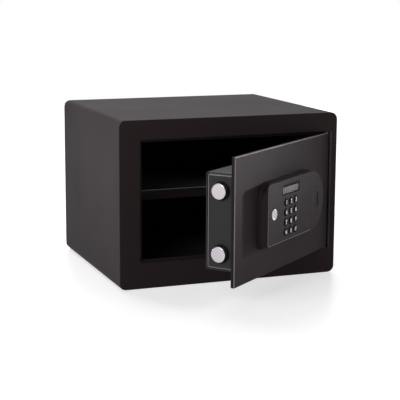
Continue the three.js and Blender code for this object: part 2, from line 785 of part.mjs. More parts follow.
// Rack with a gap between two teeth straight above the pinion
function driveRack() {
  const shape = new THREE.Shape();
  const tip = pitchLine - GEAR_ADDENDUM;
  const top = rackRoot + RACK_HEIGHT;
  const length = rackEnd - rackStart;
  const spare = (RACK_SPARE % toothPitch) + toothPitch / 2;
  const first = rackStart + spare - toothPitch * Math.floor(spare / toothPitch);
  const count = Math.floor((length - (first - rackStart) - TOOTH_ROOT / 2) / toothPitch) + 1;
  shape.moveTo(rackStart, top);
  shape.lineTo(rackStart, rackRoot);
  for (let tooth = 0; tooth < count; tooth += 1) {
    const middle = first + tooth * toothPitch;
    if (middle - TOOTH_ROOT / 2 > rackStart) {
      shape.lineTo(middle - TOOTH_ROOT / 2, rackRoot);
      shape.lineTo(middle - TOOTH_TIP / 2, tip);
      shape.lineTo(middle + TOOTH_TIP / 2, tip);
      shape.lineTo(middle + TOOTH_ROOT / 2, rackRoot);
    }
  }
  shape.lineTo(rackEnd, rackRoot);
  shape.lineTo(rackEnd, top);
  shape.closePath();
  return panel(shape, rackY, rackBack, 1);
}

function drivePinion() {
  const shape = new THREE.Shape();
  const rootRadius = pitchRadius - GEAR_DEDENDUM;
  const tipRadius = pitchRadius + GEAR_ADDENDUM;
  const corner = (radius, angle) => [
    pinionX + radius * Math.cos(angle),
    pinionZ + radius * Math.sin(angle),
  ];
  for (let tooth = 0; tooth < PINION_TEETH; tooth += 1) {
    const middle = Math.PI / 2 + (tooth * 2 * Math.PI) / PINION_TEETH;
    const rootTurn = TOOTH_ROOT / 2 / rootRadius;
    const tipTurn = TOOTH_TIP / 2 / tipRadius;
    const start = corner(rootRadius, middle - rootTurn);
    if (tooth === 0) {
      shape.moveTo(...start);
    } else {
      shape.lineTo(...start);
    }
    shape.lineTo(...corner(tipRadius, middle - tipTurn));
    shape.lineTo(...corner(tipRadius, middle + tipTurn));
    shape.lineTo(...corner(rootRadius, middle + rootTurn));
  }
  shape.closePath();
  return join(
    panel(shape, rackY + PINION_SETBACK, rackBack - FIT, 1),
    rodAlongY(SHAFT_RADIUS, pinionX, rackY + PINION_SETBACK, gearboxY + SHAFT_DEPTH, pinionZ, 20),
  );
}

// Folded bracket: a foot on the door plate, a riser and the plate that holds the gear motor
function motorBracket() {
  const left = gearboxLeft - BRACKET_OVERLAP;
  const right = gearboxRight + BRACKET_OVERLAP;
  const riser = gearboxBottom - BRACKET_SHEET - BRACKET_DROP;
  const low = boxBottom + BOX_SHEET + BRACKET_MARGIN;
  const high = rackRoot + RACK_HEIGHT + BRACKET_RISE;
  const rear = bracketY + BRACKET_SHEET;
  const bracket = join(
    block(left, right, boxFoot, boxFoot + BRACKET_SHEET, low, riser + BRACKET_SHEET),
    block(left, right, boxFoot, rear, riser, riser + BRACKET_SHEET),
    block(left, right, bracketY, rear, riser, high),
  );
  const shaftHole = SHAFT_RADIUS + SHAFT_CLEARANCE;
  return cut(bracket, rodAlongY(shaftHole, pinionX, bracketY - PAST, rear + PAST, pinionZ, 20));
}

function gearMotor() {
  const middleY = (gearboxY + gearboxBack) / 2;
  const end = gearboxRight + MOTOR_LENGTH;
  const whole = join(
    block(gearboxLeft, gearboxRight, gearboxY, gearboxBack, gearboxBottom, gearboxBottom + GEARBOX_HEIGHT),
    rodAlongX(MOTOR_RADIUS, gearboxRight - OVERLAP, end, middleY, pinionZ, 28),
    rodAlongX(MOTOR_BOSS_RADIUS, end - OVERLAP, end + MOTOR_BOSS, middleY, pinionZ, 16),
  );
  const shaftEnd = gearboxY + SHAFT_DEPTH + PAST;
  return cut(whole, rodAlongY(SHAFT_RADIUS + FIT, pinionX, gearboxY - PAST, shaftEnd, pinionZ, 20));
}

// Override lock behind the key cover
function lockCylinder() {
  const flange = housingBack - CYLINDER_FLANGE;
  return cut(
    turnedAlongY([
      [0, cylinderFront],
      [CYLINDER_RADIUS, cylinderFront],
      [CYLINDER_RADIUS, flange],
      [CYLINDER_FLANGE_RADIUS, flange],
      [CYLINDER_FLANGE_RADIUS, housingBack],
      [CYLINDER_RADIUS, housingBack],
      [CYLINDER_RADIUS, cylinderBack],
      [0, cylinderBack],
    ], coverX, PANEL_Z),
    rodAlongY(PLUG_RADIUS + FIT, coverX, cylinderFront - PAST, cylinderBack + PAST, PANEL_Z, 28),
  );
}

function cylinderPlug() {
  const shoulder = cylinderBack - FIT;
  const stubEnd = camY + CAM_THICKNESS + CAM_STUB_PROUD;
  const plug = turnedAlongY([
    [0, cylinderFront],
    [PLUG_RADIUS, cylinderFront],
    [PLUG_RADIUS, shoulder],
    [CAM_STUB_RADIUS, shoulder],
    [CAM_STUB_RADIUS, stubEnd],
    [0, stubEnd],
  ], coverX, PANEL_Z, 28);
  return cut(plug, block(
    coverX - KEYWAY_WIDTH / 2, coverX + KEYWAY_WIDTH / 2,
    cylinderFront - PAST, cylinderFront + KEYWAY_DEPTH,
    PANEL_Z - KEYWAY_HEIGHT / 2, PANEL_Z + KEYWAY_HEIGHT / 2,
  ));
}

function lockCam() {
  const half = CAM_WIDTH / 2;
  const arm = roundedOutline(
    coverX - half, coverX + CAM_REACH, PANEL_Z - half, PANEL_Z + half, half - CAM_TIP_FLAT / 2);
  return cut(
    panel(arm, camY, camY + CAM_THICKNESS),
    rodAlongY(CAM_STUB_RADIUS + FIT, coverX, camY - PAST, camY + CAM_THICKNESS + PAST, PANEL_Z, 24),
  );
}

// Batteries
function batteryCase() {
  const outerX = caseWidth / 2 + CASE_WALL;
  const outerZ = caseHeight / 2 + CASE_WALL;
  return cut(
    block(caseX - outerX, caseX + outerX, caseFloor - CASE_WALL, caseBack, caseZ - outerZ, caseZ + outerZ),
    block(caseX - caseWidth / 2, caseX + caseWidth / 2, caseFloor, caseBack + PAST,
      caseZ - caseHeight / 2, caseZ + caseHeight / 2),
  );
}

function battery(place) {
  const x = caseX + (place - (CELL_COUNT - 1) / 2) * CELL_PITCH;
  const low = -(CELL_LENGTH + CELL_NUB) / 2;
  const shoulder = low + CELL_LENGTH;
  const cell = turnedAlongY([
    [0, low],
    [CELL_RADIUS, low],
    [CELL_RADIUS, shoulder],
    [CELL_NUB_RADIUS, shoulder],
    [CELL_NUB_RADIUS, shoulder + CELL_NUB],
    [0, shoulder + CELL_NUB],
  ], 0, 0, 20);
  cell.rotateX(place % 2 === 0 ? Math.PI / 2 : -Math.PI / 2);
  cell.translate(x, caseFloor + CELL_RADIUS + FIT, caseZ);
  return cell;
}

function batteryCover() {
  const outer = (lap, radius) => roundedOutline(
    caseX - caseWidth / 2 - lap, caseX + caseWidth / 2 + lap,
    caseZ - caseHeight / 2 - lap, caseZ + caseHeight / 2 + lap, radius);
  const seat = boxBack + FIT;
  const lid = lofted([
    [outer(LID_LAP, LID_CORNER), seat],
    [outer(LID_LAP, LID_CORNER), seat + LID_THICKNESS - LID_EDGE],
    [outer(LID_LAP - LID_EDGE, LID_CORNER - LID_EDGE), seat + LID_THICKNESS],
  ], 2);
  return join(lid, panel(outer(-2 * FIT, LID_RIM_CORNER), seat - LID_RIM, seat + OVERLAP, 2));
}

// Reset button through the cover, and the switch that carries it
function resetSwitch() {
  const half = SWITCH_WIDTH / 2;
  const rear = boxInside - FIT;
  const capFloor = resetCapBase - RESET_TRAVEL - FIT;
  const stemFloor = resetStemEnd - RESET_TRAVEL - FIT;
  return cut(
    block(resetX - half, resetX + half, rear - SWITCH_DEPTH, rear, resetZ - half, resetZ + half),
    rodAlongY(RESET_RADIUS + KEY_CLEARANCE, resetX, capFloor, rear + PAST, resetZ, 24),
    rodAlongY(RESET_STEM_RADIUS + KEY_CLEARANCE, resetX, stemFloor, rear, resetZ, 20),
  );
}

function resetButton() {
  const top = boxBack + RESET_PROUD;
  return turnedAlongY([
    [0, resetStemEnd],
    [RESET_STEM_RADIUS, resetStemEnd],
    [RESET_STEM_RADIUS, resetCapBase],
    [RESET_RADIUS, resetCapBase],
    [RESET_RADIUS, top - RESET_EDGE],
    [RESET_RADIUS - RESET_EDGE, top],
    [0, top],
  ], resetX, resetZ, 24);
}

// Control board on four feet, and the cable that joins it to the keypad
function controlBoard() {
  const halfX = BOARD_WIDTH / 2;
  const halfZ = BOARD_HEIGHT / 2;
  const top = controlBoardY + BOARD_THICKNESS;
  const footX = halfX - BOARD_FOOT_INSET;
  const footZ = halfZ - BOARD_FOOT_INSET;
  const foot = (x, z) =>
    rodAlongY(BOARD_FOOT_RADIUS, controlBoardX + x, boxFoot, controlBoardY + OVERLAP, controlBoardZ + z, 12);
  const fitted = (x, z, width, height, depth) => block(
    controlBoardX + x - width / 2, controlBoardX + x + width / 2, top - OVERLAP, top + depth,
    controlBoardZ + z - height / 2, controlBoardZ + z + height / 2);
  const buzzerX = controlBoardX + SOCKET_FROM_MIDDLE;
  return join(
    block(controlBoardX - halfX, controlBoardX + halfX, controlBoardY, top,
      controlBoardZ - halfZ, controlBoardZ + halfZ),
    foot(-footX, -footZ),
    foot(-footX, footZ),
    foot(footX, -footZ),
    foot(footX, footZ),
    fitted(0, 0, CHIP_WIDTH, CHIP_WIDTH, CHIP_HEIGHT),
    fitted(SOCKET_FROM_MIDDLE, -SOCKET_DROP, SOCKET_WIDTH, SOCKET_HEIGHT, SOCKET_DEPTH),
    rodAlongY(BUZZER_RADIUS, buzzerX, top - OVERLAP, top + BUZZER_DEPTH, controlBoardZ + BUZZER_RISE, 16),
  );
}

function cable() {
  const endX = controlBoardX - BOARD_WIDTH / 2 + CABLE_END_INSET;
  const top = controlBoardY + BOARD_THICKNESS + FIT;
  const route = new THREE.CatmullRomCurve3([
    new THREE.Vector3(cableX, boardBack + FIT, cableZ),
    new THREE.Vector3(cableX, front, cableZ),
    new THREE.Vector3(cableX, plateBack + 6, cableZ),
    new THREE.Vector3(cableX + (endX - cableX) * 0.4, plateBack + 14, cableZ - 6),
    new THREE.Vector3(cableX + (endX - cableX) * 0.9, plateBack + 14, cableZ - 18),
    new THREE.Vector3(endX, top + 4, controlBoardZ),
    new THREE.Vector3(endX, top, controlBoardZ),
  ]);
  const section = new THREE.Shape();
  section.absarc(0, 0, CABLE_RADIUS, 0, 2 * Math.PI, false);
  const geometry = new THREE.ExtrudeGeometry(section, {
    steps: 24,
    curveSegments: 4,
    bevelEnabled: false,
    extrudePath: route,
  });
  return facingOut(geometry);
}

// Control housing: an outline that steps in a little, then slopes to the flat face
function housingOutline(inset, endInset, corners, wall) {
  return roundedOutline(
    housingLeft + inset + wall, housingRight - endInset - wall,
    housingBottom + inset + wall, housingTop - inset * HOUSING_TOP_SHARE - wall,
    ...corners.map((radius) => radius - wall));
}

function controlHousing() {
  const stepY = housingBack - HOUSING_STEP;
  const foot = (wall) => housingOutline(0, 0, FOOT_CORNERS, wall);
  const step = (wall) => housingOutline(HOUSING_STEP_INSET, HOUSING_STEP_END_INSET, FOOT_CORNERS, wall);
  const face = (wall, edge = 0) =>
    housingOutline(HOUSING_FACE_INSET - edge, HOUSING_END_INSET - 2 * edge, FACE_CORNERS, wall);
  const outer = lofted([
    [foot(0), housingBack],
    [step(0), stepY],
    [face(0, FACE_EDGE), faceY + FACE_EDGE],
    [face(0), faceY],
  ]);
  const cavity = lofted([
    [foot(HOUSING_WALL), housingBack + PAST],
    [step(HOUSING_WALL), stepY],
    [face(HOUSING_WALL), faceInside],
  ]);
  const boss = ([x, z]) => rodAlongY(BOSS_RADIUS, x, faceInside - OVERLAP, boardY - FIT, z, 12);
  const shell = join(cut(outer, cavity), ...bosses.map(boss));
  const paneX = DISPLAY_WIDTH / 2 + FIT;
  const paneZ = DISPLAY_HEIGHT / 2 + FIT;
  const ledgeX = DISPLAY_WIDTH / 2 - DISPLAY_LEDGE;
  const ledgeZ = DISPLAY_HEIGHT / 2 - DISPLAY_LEDGE;
  const sunk = faceY + WINDOW_RECESS + WINDOW_THICKNESS + FIT;
  const readerHole = roundedOutline(
    readerX - READER_WIDTH / 2 - FIT, readerX + READER_WIDTH / 2 + FIT,
    PANEL_Z - READER_HEIGHT / 2 - FIT, PANEL_Z + READER_HEIGHT / 2 + FIT, READER_CORNER + FIT);
  const through = faceInside + PAST;
  return cut(
    shell,
    block(keypadX - paneX, keypadX + paneX, faceY - PAST, sunk, displayZ - paneZ, displayZ + paneZ),
    block(keypadX - ledgeX, keypadX + ledgeX, faceY, through, displayZ - ledgeZ, displayZ + ledgeZ),
    ...keys.map(({ x, z }) => rodAlongY(KEY_RADIUS + KEY_CLEARANCE, x, faceY - PAST, through, z, 20)),
    rodAlongY(COVER_RADIUS + COVER_GAP, coverX, faceY - PAST, faceY + COVER_RECESS, PANEL_Z, 32),
    rodAlongY(PLUG_RADIUS + PLUG_CLEARANCE, coverX, faceY, through, PANEL_Z, 24),
    panel(readerHole, faceY - PAST, through, 2),
  );
}

function key({ x, z }) {
  const top = faceY - KEY_PROUD;
  return turnedAlongY([
    [0, keyBackY],
    [KEY_FLANGE_RADIUS, keyBackY],
    [KEY_FLANGE_RADIUS, keyFlangeY],
    [KEY_RADIUS, keyFlangeY],
    [KEY_RADIUS, top + KEY_DOME],
    [KEY_RADIUS - KEY_CROWN_EDGE, top + KEY_CROWN_DROP],
    [0, top],
  ], x, z, 20);
}

// Circuit board behind the keys, held off the face by the housing's bosses
function keypadBoard() {
  return block(keypadX - keyboardHalf, keypadX + keyboardHalf, boardY, boardBack, keyboardLow, keyboardHigh);
}

function displayModule() {
  const halfX = DISPLAY_WIDTH / 2 + MODULE_MARGIN;
  const halfZ = DISPLAY_HEIGHT / 2 + MODULE_MARGIN;
  return block(keypadX - halfX, keypadX + halfX, faceInside + FIT, boardY - FIT,
    displayZ - halfZ, displayZ + halfZ);
}

function displayWindow() {
  const outer = faceY + WINDOW_RECESS;
  return block(keypadX - DISPLAY_WIDTH / 2, keypadX + DISPLAY_WIDTH / 2, outer, outer + WINDOW_THICKNESS,
    displayZ - DISPLAY_HEIGHT / 2, displayZ + DISPLAY_HEIGHT / 2);
}

function fingerprintSensor() {
  const outline = (grow) => roundedOutline(
    readerX - READER_WIDTH / 2 - grow, readerX + READER_WIDTH / 2 + grow,
    PANEL_Z - READER_HEIGHT / 2 - grow, PANEL_Z + READER_HEIGHT / 2 + grow, READER_CORNER);
  return join(
    panel(outline(0), faceY + READER_RECESS, keyFlangeY + OVERLAP, 2),
    panel(outline(READER_LIP), keyFlangeY, keyFlangeY + READER_FLANGE, 2),
  );
}

function keyCover() {
  const seat = faceY + COVER_RECESS - FIT;
  const outer = seat - COVER_THICKNESS;
  return turnedAlongY([
    [0, seat],
    [COVER_RADIUS, seat],
    [COVER_RADIUS, outer + COVER_EDGE],
    [COVER_RADIUS - COVER_EDGE, outer],
    [0, outer],
  ], coverX, PANEL_Z, 36);
}

// Finishes
function finish(color, roughness, metalness = 0) {
  return new THREE.MeshStandardMaterial({ color, roughness, metalness });
}

const paint = () => finish(0x39363a, 0.6);
const darkSteel = () => finish(0x4a4a4d, 0.5, 0.8);
const zincSteel = () => finish(0x9a9da0, 0.4, 0.9);
const chrome = () => finish(0xd8dadd, 0.12, 1);
const satinMetal = () => finish(0xc4c6c8, 0.35, 1);
const brass = () => finish(0xb08d4a, 0.4, 1);
const blackPlastic = () => finish(0x2a2829, 0.45);
const keyRubber = () => finish(0x17171a, 0.5);
const carpet = () => finish(0x1c1c1f, 0.95);
const nylon = () => finish(0x1e1e20, 0.6);
const glass = () => finish(0xa9b1a2, 0.1);
const sensorGlass = () => finish(0x121316, 0.12);
const boardGreen = () => finish(0x1f4d34, 0.5);
const cellWrap = () => finish(0x2b3a55, 0.4);
const red = () => finish(0xa32a2a, 0.4);

function add(group, name, geometry, material) {
  const mesh = new THREE.Mesh(geometry, material);
  mesh.name = name;
  group.add(mesh);
}

// Assembly: the door pieces are placed as if shut, in a group that turns about the hinge pins
const safe = new THREE.Group();
const cabinet = new THREE.Group();
safe.add(cabinet);
add(cabinet, "body_shell", bodyShell(), paint());
add(cabinet, "front_frame", frontFrame(), paint());
add(cabinet, "back_panel", backPanel(), paint());
add(cabinet, "door_stop", doorStop(), paint());
add(cabinet, "hinge_washer", hingeWasher(), nylon());
add(cabinet, "shelf", shelf(), paint());
add(cabinet, "shelf_mat", shelfMat(), carpet());
add(cabinet, "shelf_support_left", shelfSupport(-1), paint());
add(cabinet, "shelf_support_right", shelfSupport(1), paint());
add(cabinet, "floor_mat", floorMat(), carpet());

const hinge = new THREE.Group();
hinge.position.set(pivotX, pivotY, 0);
hinge.rotation.z = THREE.MathUtils.degToRad(DOOR_ANGLE);
safe.add(hinge);
const door = new THREE.Group();
door.position.set(-pivotX, -pivotY, 0);
hinge.add(door);

add(door, "door_plate", doorPlate(), paint());
add(door, "hinge_pin_upper", hingePin(plateTop, 1), darkSteel());
add(door, "hinge_pin_lower", hingePin(plateBottom, -1), darkSteel());
add(door, "lock_box_side", lockBoxSide(), paint());
add(door, "lock_box_cover", lockBoxCover(), paint());
add(door, "cover_post", coverPost(), zincSteel());
add(door, "cover_screw_1", coverScrew(sideScrewX, sideScrews[0]), darkSteel());
add(door, "cover_screw_2", coverScrew(sideScrewX, sideScrews[1]), darkSteel());
add(door, "cover_screw_3", coverScrew(postX, boxMiddle), darkSteel());
["upper", "lower"].forEach((level, place) => {
  add(door, `bolt_bush_${level}`, boltBush(boltHeights[place]), nylon());
  add(door, `locking_bolt_${level}`, lockingBolt(boltHeights[place]), chrome());
});
add(door, "bolt_carrier", boltCarrier(), zincSteel());
add(door, "drive_rack", driveRack(), brass());
add(door, "drive_pinion", drivePinion(), brass());
add(door, "motor_bracket", motorBracket(), zincSteel());
add(door, "gear_motor", gearMotor(), darkSteel());
add(door, "lock_cylinder", lockCylinder(), satinMetal());
add(door, "cylinder_plug", cylinderPlug(), brass());
add(door, "lock_cam", lockCam(), zincSteel());
add(door, "battery_case", batteryCase(), blackPlastic());
for (let place = 0; place < CELL_COUNT; place += 1) {
  add(door, `battery_${place + 1}`, battery(place), cellWrap());
}
add(door, "battery_cover", batteryCover(), blackPlastic());
add(door, "reset_switch", resetSwitch(), blackPlastic());
add(door, "reset_button", resetButton(), red());
add(door, "control_board", controlBoard(), boardGreen());
add(door, "keypad_cable", cable(), nylon());

add(door, "control_housing", controlHousing(), blackPlastic());
add(door, "keypad_board", keypadBoard(), boardGreen());
add(door, "display_module", displayModule(), glass());
add(door, "display_window", displayWindow(), glass());
add(door, "fingerprint_sensor", fingerprintSensor(), sensorGlass());
add(door, "key_cover", keyCover(), satinMetal());
keys.forEach((place) => add(door, place.name, key(place), keyRubber()));

export default safe;
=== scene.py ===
"""A small steel safe with its door ajar: graphite powder coat, chromed bolts and a moulded control panel."""

import json
import math

import bmesh
import bpy
from mathutils import Matrix, Vector, noise


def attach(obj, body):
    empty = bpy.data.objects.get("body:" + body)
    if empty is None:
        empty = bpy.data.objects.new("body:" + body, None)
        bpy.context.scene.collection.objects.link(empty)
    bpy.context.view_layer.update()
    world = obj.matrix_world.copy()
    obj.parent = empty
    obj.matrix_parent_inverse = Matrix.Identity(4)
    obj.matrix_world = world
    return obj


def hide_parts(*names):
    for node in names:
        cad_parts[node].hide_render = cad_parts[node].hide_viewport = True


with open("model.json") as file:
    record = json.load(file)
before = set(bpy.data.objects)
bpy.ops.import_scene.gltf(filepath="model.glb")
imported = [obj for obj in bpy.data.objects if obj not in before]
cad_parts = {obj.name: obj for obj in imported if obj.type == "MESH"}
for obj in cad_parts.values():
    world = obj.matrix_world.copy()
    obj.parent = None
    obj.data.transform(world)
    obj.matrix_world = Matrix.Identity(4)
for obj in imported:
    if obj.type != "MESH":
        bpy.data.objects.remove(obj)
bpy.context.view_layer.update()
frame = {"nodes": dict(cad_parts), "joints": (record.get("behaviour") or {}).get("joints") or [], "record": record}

MM = 0.001

# Sheet steel, in millimetres
CABINET_CORNER = 10.5
WRAP_SHEET = 2
WRAP_EDGE = 0.6
SURROUND_EDGE = 1.3
OPENING_EDGE = 2.4
OPENING_LEFT = 33.5
OPENING_RIGHT = 11.5
OPENING_BOTTOM = 39.5
OPENING_TOP = 30
OPENING_CORNER = 2
FIXING_HOLE = 5
FIXING_SPACING = 160
BASE_HOLE_SETBACK = 120
BACK_HOLE_HEIGHT = 190
DOOR_CORNER = 1.2
DOOR_EDGE = 0.9
LOCK_HOLE = 8.8
CABLE_HOLE = 3.7
CABLE_RADIUS = 2.2
PIN_HOLE = 2.3
PIN_DEPTH = 14
BOX_SHEET = 1.5
BOX_BEND = 2.2
BOX_CORNER = 3
BUSH_HOLE = 13.5
BOLT_SPIGOT = 5
BOLT_SPIGOT_LENGTH = 6
BOLT_CLEARANCE = 0.4
BUSH_WALL = 1.8
BUSH_FLANGE = 2
LID_CORNER = 3
SCREW_HOLE = 2
BUTTON_CLEARANCE = 0.4

# Control panel, in millimetres; corners are the upper left, both right ones and the lower left
PANEL_STEP = 6
STEP_INSET = 0.7
STEP_END_INSET = 1
FACE_INSET = 5.4
FACE_END_INSET = 4
STEP_EDGE = 0.9
FACE_EDGE = 1.6
# Length of the painted highlight along the panel face's bottom edge
HIGHLIGHT_LENGTH = 110
TOP_SHARE = 0.15
FOOT_CORNERS = (26, 45, 12)
FACE_CORNERS = (4, 42, 4)
PANEL_WALL = 2.2
FACE_WALL = 2.4
KEY_HOLE = 5.8
KEY_LIP = 1
KEY_LIP_HEIGHT = 1.2
COVER_GAP = 1.1
COVER_RECESS = 1.2
PLUG_HOLE = 6
DISPLAY_GAP = 0.3
DISPLAY_BORDER = 1.8
# Along the top the display border is wider, to paint the shade of the recess's upper wall
DISPLAY_TOP_BORDER_AND_SHADE = 3.2
READER_LIP = 2
LEGEND_HEIGHT = 5.8
LEGEND_DEPTH = 0.12

# Camera, placed where the photograph was taken from
CAMERA_PLACE = (-687.98, -1799.01, 459.55)
CAMERA_YAW = 0.3694
CAMERA_PITCH = -0.1855
CAMERA_ROLL = 0.0053
FOCAL_PIXELS = 1216.02
FRAME_PIXELS = 400
SENSOR_WIDTH = 36

# Floor, in metres. Its glow adds to what falls on it, and rises to full towards the rim
FLOOR_GLOW = 0.58
GLOW_RISES = 1.2
GLOW_FULL = 2.1
FLOOR_RADIUS = 2.2

# Radius of a snooted lamp's bulb, in metres
SNOOT_RADIUS = 0.085

BODY_OF = {node: body for body, nodes in frame["record"]["behaviour"]["bodies"].items() for node in nodes}
SLOT_OF = {part["node"]: part["material_slot"] for part in frame["record"]["subparts"]}

swing = next(joint for joint in frame["joints"] if joint["name"] == "door_swing")
pivot = Vector(swing["pos_m"])
door_turn = (
    Matrix.Translation(pivot)
    @ Matrix.Rotation(math.radians(-swing["range_deg"][0]), 4, Vector(swing["axis"]))
    @ Matrix.Translation(-pivot)
)


def on_door(node):
    return BODY_OF[node] != "cabinet"


def extents(node):
    """Lowest and highest corner of a node in millimetres, with the door turned shut."""
    turn = door_turn.inverted() if on_door(node) else Matrix.Identity(4)
    corners = [turn @ vertex.co / MM for vertex in frame["nodes"][node].data.vertices]
    low = Vector([min(corner[axis] for corner in corners) for axis in range(3)])
    high = Vector([max(corner[axis] for corner in corners) for axis in range(3)])
    return low, high


# Outlines and paths
def rounded(x0, x1, z0, z1, radii, steps=8):
    """Rectangle with round corners: radii for lower right, upper right, upper left and lower left."""
    corners = ((x1, z0, -1), (x1, z1, 0), (x0, z1, 1), (x0, z0, 2))
    points = []
    for (x, z, quarter), radius in zip(corners, radii):
        middle_x = x - radius if x == x1 else x + radius
        middle_z = z + radius if z == z0 else z - radius
        for step in range(steps + 1):
            angle = (quarter + step / steps) * math.pi / 2
            points.append((middle_x + radius * math.cos(angle), middle_z + radius * math.sin(angle)))
    return points


def sunken(low, high, inset, radii, steps):
    """Front outline of a box between two corners, drawn in by the inset."""
    return rounded(low.x + inset, high.x - inset, low.z + inset, high.z - inset, radii, steps)


def circle(x, z, radius, steps=48):
    turns = [2 * math.pi * step / steps for step in range(steps)]
    return [(x + radius * math.cos(turn), z + radius * math.sin(turn)) for turn in turns]


def fillet(radius, steps=5):
    """Rounded edge as (inset, setback), from the face to the side."""
    turns = [math.pi / 2 * step / steps for step in range(steps + 1)]
    return [(radius * (1 - math.sin(turn)), radius * (1 - math.cos(turn))) for turn in turns]


def softened(corners, steps=4):
    """Path through (place, radius) corners, each eased into a short curve."""
    path = []
    for index, (place, radius) in enumerate(corners):
        if radius == 0:
            path.append(place)
            continue
        ends = []
        for other in (corners[index - 1][0], corners[index + 1][0]):
            share = radius / math.dist((place[0], place[-1]), (other[0], other[-1]))
            ends.append([here + share * (there - here) for here, there in zip(place, other)])
        for step in range(steps + 1):
            t = step / steps
            path.append(tuple(
                (1 - t) ** 2 * first + 2 * t * (1 - t) * middle + t * t * last
                for first, middle, last in zip(ends[0], place, ends[1])
            ))
    return path


# Ways to lay a flat outline (u, v) at a depth w into the safe's own directions
def facing_front(u, v, w):
    return (u, w, v)


def facing_left(u, v, w):
    return (w, u, v)


def lying_flat(u, v, w):
    return (u, v, w)


# Meshes
def ring(bm, points, w, place=facing_front):
    return [bm.verts.new(place(u, v, w)) for u, v in points]


def skin(bm, rings, closed=True):
    """Faces between one ring and the next."""
    for near, far in zip(rings, rings[1:]):
        count = len(near)
        for start in range(count if closed else count - 1):
            end = (start + 1) % count
            bm.faces.new((near[start], near[end], far[end], far[start]))


def cap(bm, *loops):
    """Flat face inside the first loop, open inside the others."""
    if len(loops) == 1:
        bm.faces.new(loops[0])
        return
    edges = []
    for loop in loops:
        for start, end in zip(loop, loop[1:] + loop[:1]):
            edges.append(bm.edges.get((start, end)) or bm.edges.new((start, end)))
    bmesh.ops.triangle_fill(bm, use_beauty=True, use_dissolve=False, edges=edges)


def plate(outer, holes, front, back, edge, hole_edge=0.3, back_edge=0.2, place=facing_front):
    """Flat sheet with eased edges. Each outline is a function of its inset."""
    bm = bmesh.new()
    rims = []
    for outline, radius, sign in [(outer, edge, 1)] + [(hole, hole_edge, -1) for hole in holes]:
        way = 1 if back > front else -1
        sections = [(sign * inset, front + way * setback) for inset, setback in fillet(radius)]
        back_steps = reversed(fillet(back_edge, 2))
        sections += [(sign * inset, back - way * setback) for inset, setback in back_steps]
        rims.append([ring(bm, outline(inset), w, place) for inset, w in sections])
        skin(bm, rims[-1])
    cap(bm, *[rim[0] for rim in rims])
    cap(bm, *[rim[-1] for rim in rims])
    return bm


def turned(profile, place, steps=48):
    """Lathe work: profile of (radius, distance along the axis), from axis to axis."""
    bm = bmesh.new()
    rings = []
    for radius, along in profile:
        if radius < 1e-6:
            rings.append([bm.verts.new(place(0, 0, along))])
        else:
            rings.append([bm.verts.new(place(u, v, along)) for u, v in circle(0, 0, radius, steps)])
    for near, far in zip(rings, rings[1:]):
        for start in range(steps):
            end = (start + 1) % steps
            corners = [line[index % len(line)] for line, index in
                       ((near, start), (near, end), (far, end), (far, start))]
            bm.faces.new(list(dict.fromkeys(corners)))
    return bm


def tray(u0, u1, v0, v1, depth, holes, place):
    """Folded sheet: a flat face with a flange round three sides, open at u0. Holes are outlines."""
    bm = bmesh.new()

    def path(inset):
        corner = BOX_CORNER - inset
        points = rounded(u0, u1 - inset, v0 + inset, v1 - inset, (corner, corner, 0, 0), 6)[:14]
        return [(u0, v0 + inset)] + points + [(u0, v1 - inset)]

    turns = [math.pi / 2 * step / 5 for step in range(6)]
    sides = []
    for start, radius in ((0, BOX_BEND), (BOX_SHEET, BOX_BEND - BOX_SHEET)):
        bend = [(BOX_BEND - radius * math.cos(turn), BOX_BEND - radius * math.sin(turn)) for turn in turns]
        sections = [(start, depth)] + bend
        sides.append([ring(bm, path(inset), w, place) for inset, w in sections])
        skin(bm, sides[-1], closed=False)
    outer, inner = sides
    rims = [[ring(bm, hole, w, place) for w in (0, BOX_SHEET)] for hole in holes]
    for rim in rims:
        skin(bm, rim)
    cap(bm, outer[-1], *[rim[0] for rim in rims])
    cap(bm, inner[-1], *[rim[1] for rim in rims])
    skin(bm, [outer[0], inner[0]], closed=False)
    for end in (0, -1):
        skin(bm, [[line[end] for line in outer], [line[end] for line in inner]], closed=False)
    bm.faces.new((outer[-1][0], outer[-1][-1], inner[-1][-1], inner[-1][0]))
    return bm


def rod(place, u, v, w0, w1, radius, steps=40):
    """Plain rod used to cut a round hole."""
    bm = bmesh.new()
    ends = [ring(bm, circle(u, v, radius, steps), w, place) for w in (w0, w1)]
    skin(bm, ends)
    cap(bm, ends[0])
    cap(bm, ends[1])
    return bm


def carved(bm, cutters):
    """The solid with the cutters taken away."""
    made = []
    for solid in [bm, *cutters]:
        bmesh.ops.recalc_face_normals(solid, faces=solid.faces)
        mesh = bpy.data.meshes.new("solid")
        solid.to_mesh(mesh)
        solid.free()
        made.append(bpy.data.objects.new("solid", mesh))
        bpy.context.scene.collection.objects.link(made[-1])
    for cutter in made[1:]:
        cut = made[0].modifiers.new("cut", "BOOLEAN")
        cut.operation = "DIFFERENCE"
        cut.solver = "EXACT"
        cut.object = cutter
    result = bmesh.new()
    result.from_mesh(made[0].evaluated_get(bpy.context.evaluated_depsgraph_get()).to_mesh())
    for item in made:
        bpy.data.objects.remove(item)
    return result


def highlight_edges(bm, picks_highlight):
    """Paints a highlight on the rounded edges that the given test picks: they take the second, paler finish."""
    bm.normal_update()
    for face in bm.faces:
        slanted = sum(abs(share) > 0.15 for share in face.normal) > 1
        if slanted and picks_highlight(face.calc_center_median(), face.normal):
            face.material_index = 1


